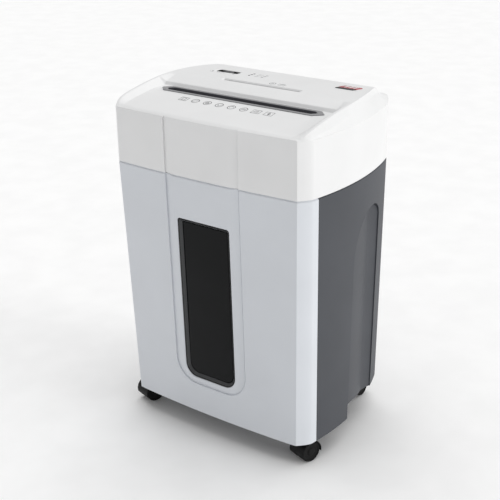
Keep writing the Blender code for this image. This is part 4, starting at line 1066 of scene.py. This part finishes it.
def screw_heads():
    """Domed heads with a cross recess, sunk in the back panel."""
    for n in range(1, 5):
        low, high = box_mm(f"back_screw_{n}")
        cx, cz = (low[0] + high[0]) / 2, (low[2] + high[2]) / 2
        steps = ((low[1], 3.55), (low[1] + 0.3, 3.55), (low[1] + 0.75, 2.9), (high[1] - 0.02, 1.6))
        rings = [[(x, y, z) for x, z in circle(r, 32, (cx, cz))] for y, r in steps]
        head = loft(f"screw_head_{n}", rings, PLATE, "cabinet", [f"back_screw_{n}"])
        arms = []
        for turn in (0.0, math.pi / 2):
            c, s = math.cos(turn), math.sin(turn)
            corners = ((-1.5, -0.3), (1.5, -0.3), (1.5, 0.3), (-1.5, 0.3))
            outline = [(cx + a * c - b * s, cz + a * s + b * c) for a, b in corners]
            depths = (low[1] + 0.4, high[1] + 1.0)
            arms.append(loft("arm", [[(x, y, z) for x, z in outline] for y in depths]))
        cut(head, arms)
        finish_shading(head)


def dress_cad():
    """Procedural finishes and small edge bevels on the CAD nodes that stay."""
    groups = ((DARK, "cabinet_back cabinet_base"), (THROAT, "card_chute"), (BOARD, "control_board"),
              (BIN, "head_base waste_bin bin_bracket_left bin_bracket_right"), (SMOKED, "indicator_lens"),
              (BLACK, "reed_sensor motor_capacitor motor_fan stripper_front stripper_rear"),
              (PLATE, "motor_can motor_cradle frame_plate_left frame_plate_right runner_left runner_right"))
    finishes = {name: finish for finish, names in groups for name in names.split()}
    for name, obj in frame["nodes"].items():
        if name in finishes:
            finish = finishes[name]
        elif name.endswith("gear") or "gear_" in name or name.startswith("bush"):
            finish = NYLON
        else:
            finish = STEEL
        for place in obj.material_slots:
            place.material = finish
        if name.startswith(("cabinet", "head_base", "waste", "bin_", "frame_plate", "runner", "motor_c",
                            "control")):
            bevel = obj.modifiers.new("soft_edges", "BEVEL")
            bevel.width = 0.0004
            bevel.segments = 2
            bevel.limit_method = "ANGLE"
            bevel.angle_limit = math.radians(40)


# ---------------------------------------------------------------- camera, light, floor

def camera():
    """The camera: its azimuth is counted from the front to the right, and it is rolled a little."""
    azimuth, elevation = math.radians(CAMERA_AZIMUTH), math.radians(CAMERA_ELEVATION)
    roll = math.radians(CAMERA_ROLL)
    level_part = math.cos(elevation)
    forward = Vector((-math.sin(azimuth) * level_part, math.cos(azimuth) * level_part, -math.sin(elevation)))
    right = Vector((math.cos(azimuth), math.sin(azimuth), 0.0))
    up = right.cross(forward)
    c, s = math.cos(roll), math.sin(roll)
    x_axis, y_axis = right * c + up * s, up * c - right * s
    data = bpy.data.cameras.new("camera")
    data.sensor_width = SENSOR_WIDTH
    data.lens = CAMERA_LENS
    obj = bpy.data.objects.new("camera", data)
    turn = Matrix((x_axis, y_axis, -forward)).transposed().to_4x4()
    obj.matrix_world = Matrix.Translation(CAMERA_PLACE_M) @ turn
    bpy.context.scene.collection.objects.link(obj)
    bpy.context.scene.camera = obj


def sun(name, azimuth, elevation, strength, softness, colour=(1.0, 1.0, 1.0)):
    """A broad soft light. From azimuth 0 it shines along +Y, from 90 along -X. Softness is in degrees."""
    data = bpy.data.lights.new(name, "SUN")
    data.energy = strength
    data.angle = math.radians(softness)
    data.color = colour
    obj = bpy.data.objects.new(name, data)
    a, e = math.radians(azimuth), math.radians(elevation)
    source = Vector((math.sin(a) * math.cos(e), -math.cos(a) * math.cos(e), math.sin(e)))
    obj.rotation_euler = source.to_track_quat("Z", "Y").to_euler()
    bpy.context.scene.collection.objects.link(obj)


def studio():
    """An even white surround, one light from the right, one from above, and a pale floor."""
    bpy.context.scene.view_settings.view_transform = "Standard"
    world = bpy.data.worlds.new("studio")
    bpy.context.scene.world = world
    world.use_nodes = True
    background = world.node_tree.nodes["Background"]
    background.inputs["Color"].default_value = (1.0, 1.0, 1.0, 1.0)
    background.inputs["Strength"].default_value = 0.5
    sun("key_right", azimuth=100.0, elevation=12.0, strength=1.25, softness=25.0, colour=(1.0, 0.998, 0.985))
    sun("top", azimuth=200.0, elevation=72.0, strength=1.35, softness=70.0)
    mesh = bpy.data.meshes.new("floor")
    half_m = 30.0
    corners = [(-half_m, -half_m, 0), (half_m, -half_m, 0), (half_m, half_m, 0), (-half_m, half_m, 0)]
    mesh.from_pydata(corners, [], [(0, 1, 2, 3)])
    floor = bpy.data.objects.new("floor", mesh)
    mesh.materials.append(FLOOR)
    bpy.context.scene.collection.objects.link(floor)


camera()
studio()
dress_cad()
head_shell()
drawer_shell()
window()
side_shell("left", -1)
side_shell("right", 1)
throat()
feed_marks()
control_marks()
badge()
switch_parts()
lenses()
caster_parts()
gland()
screw_heads()
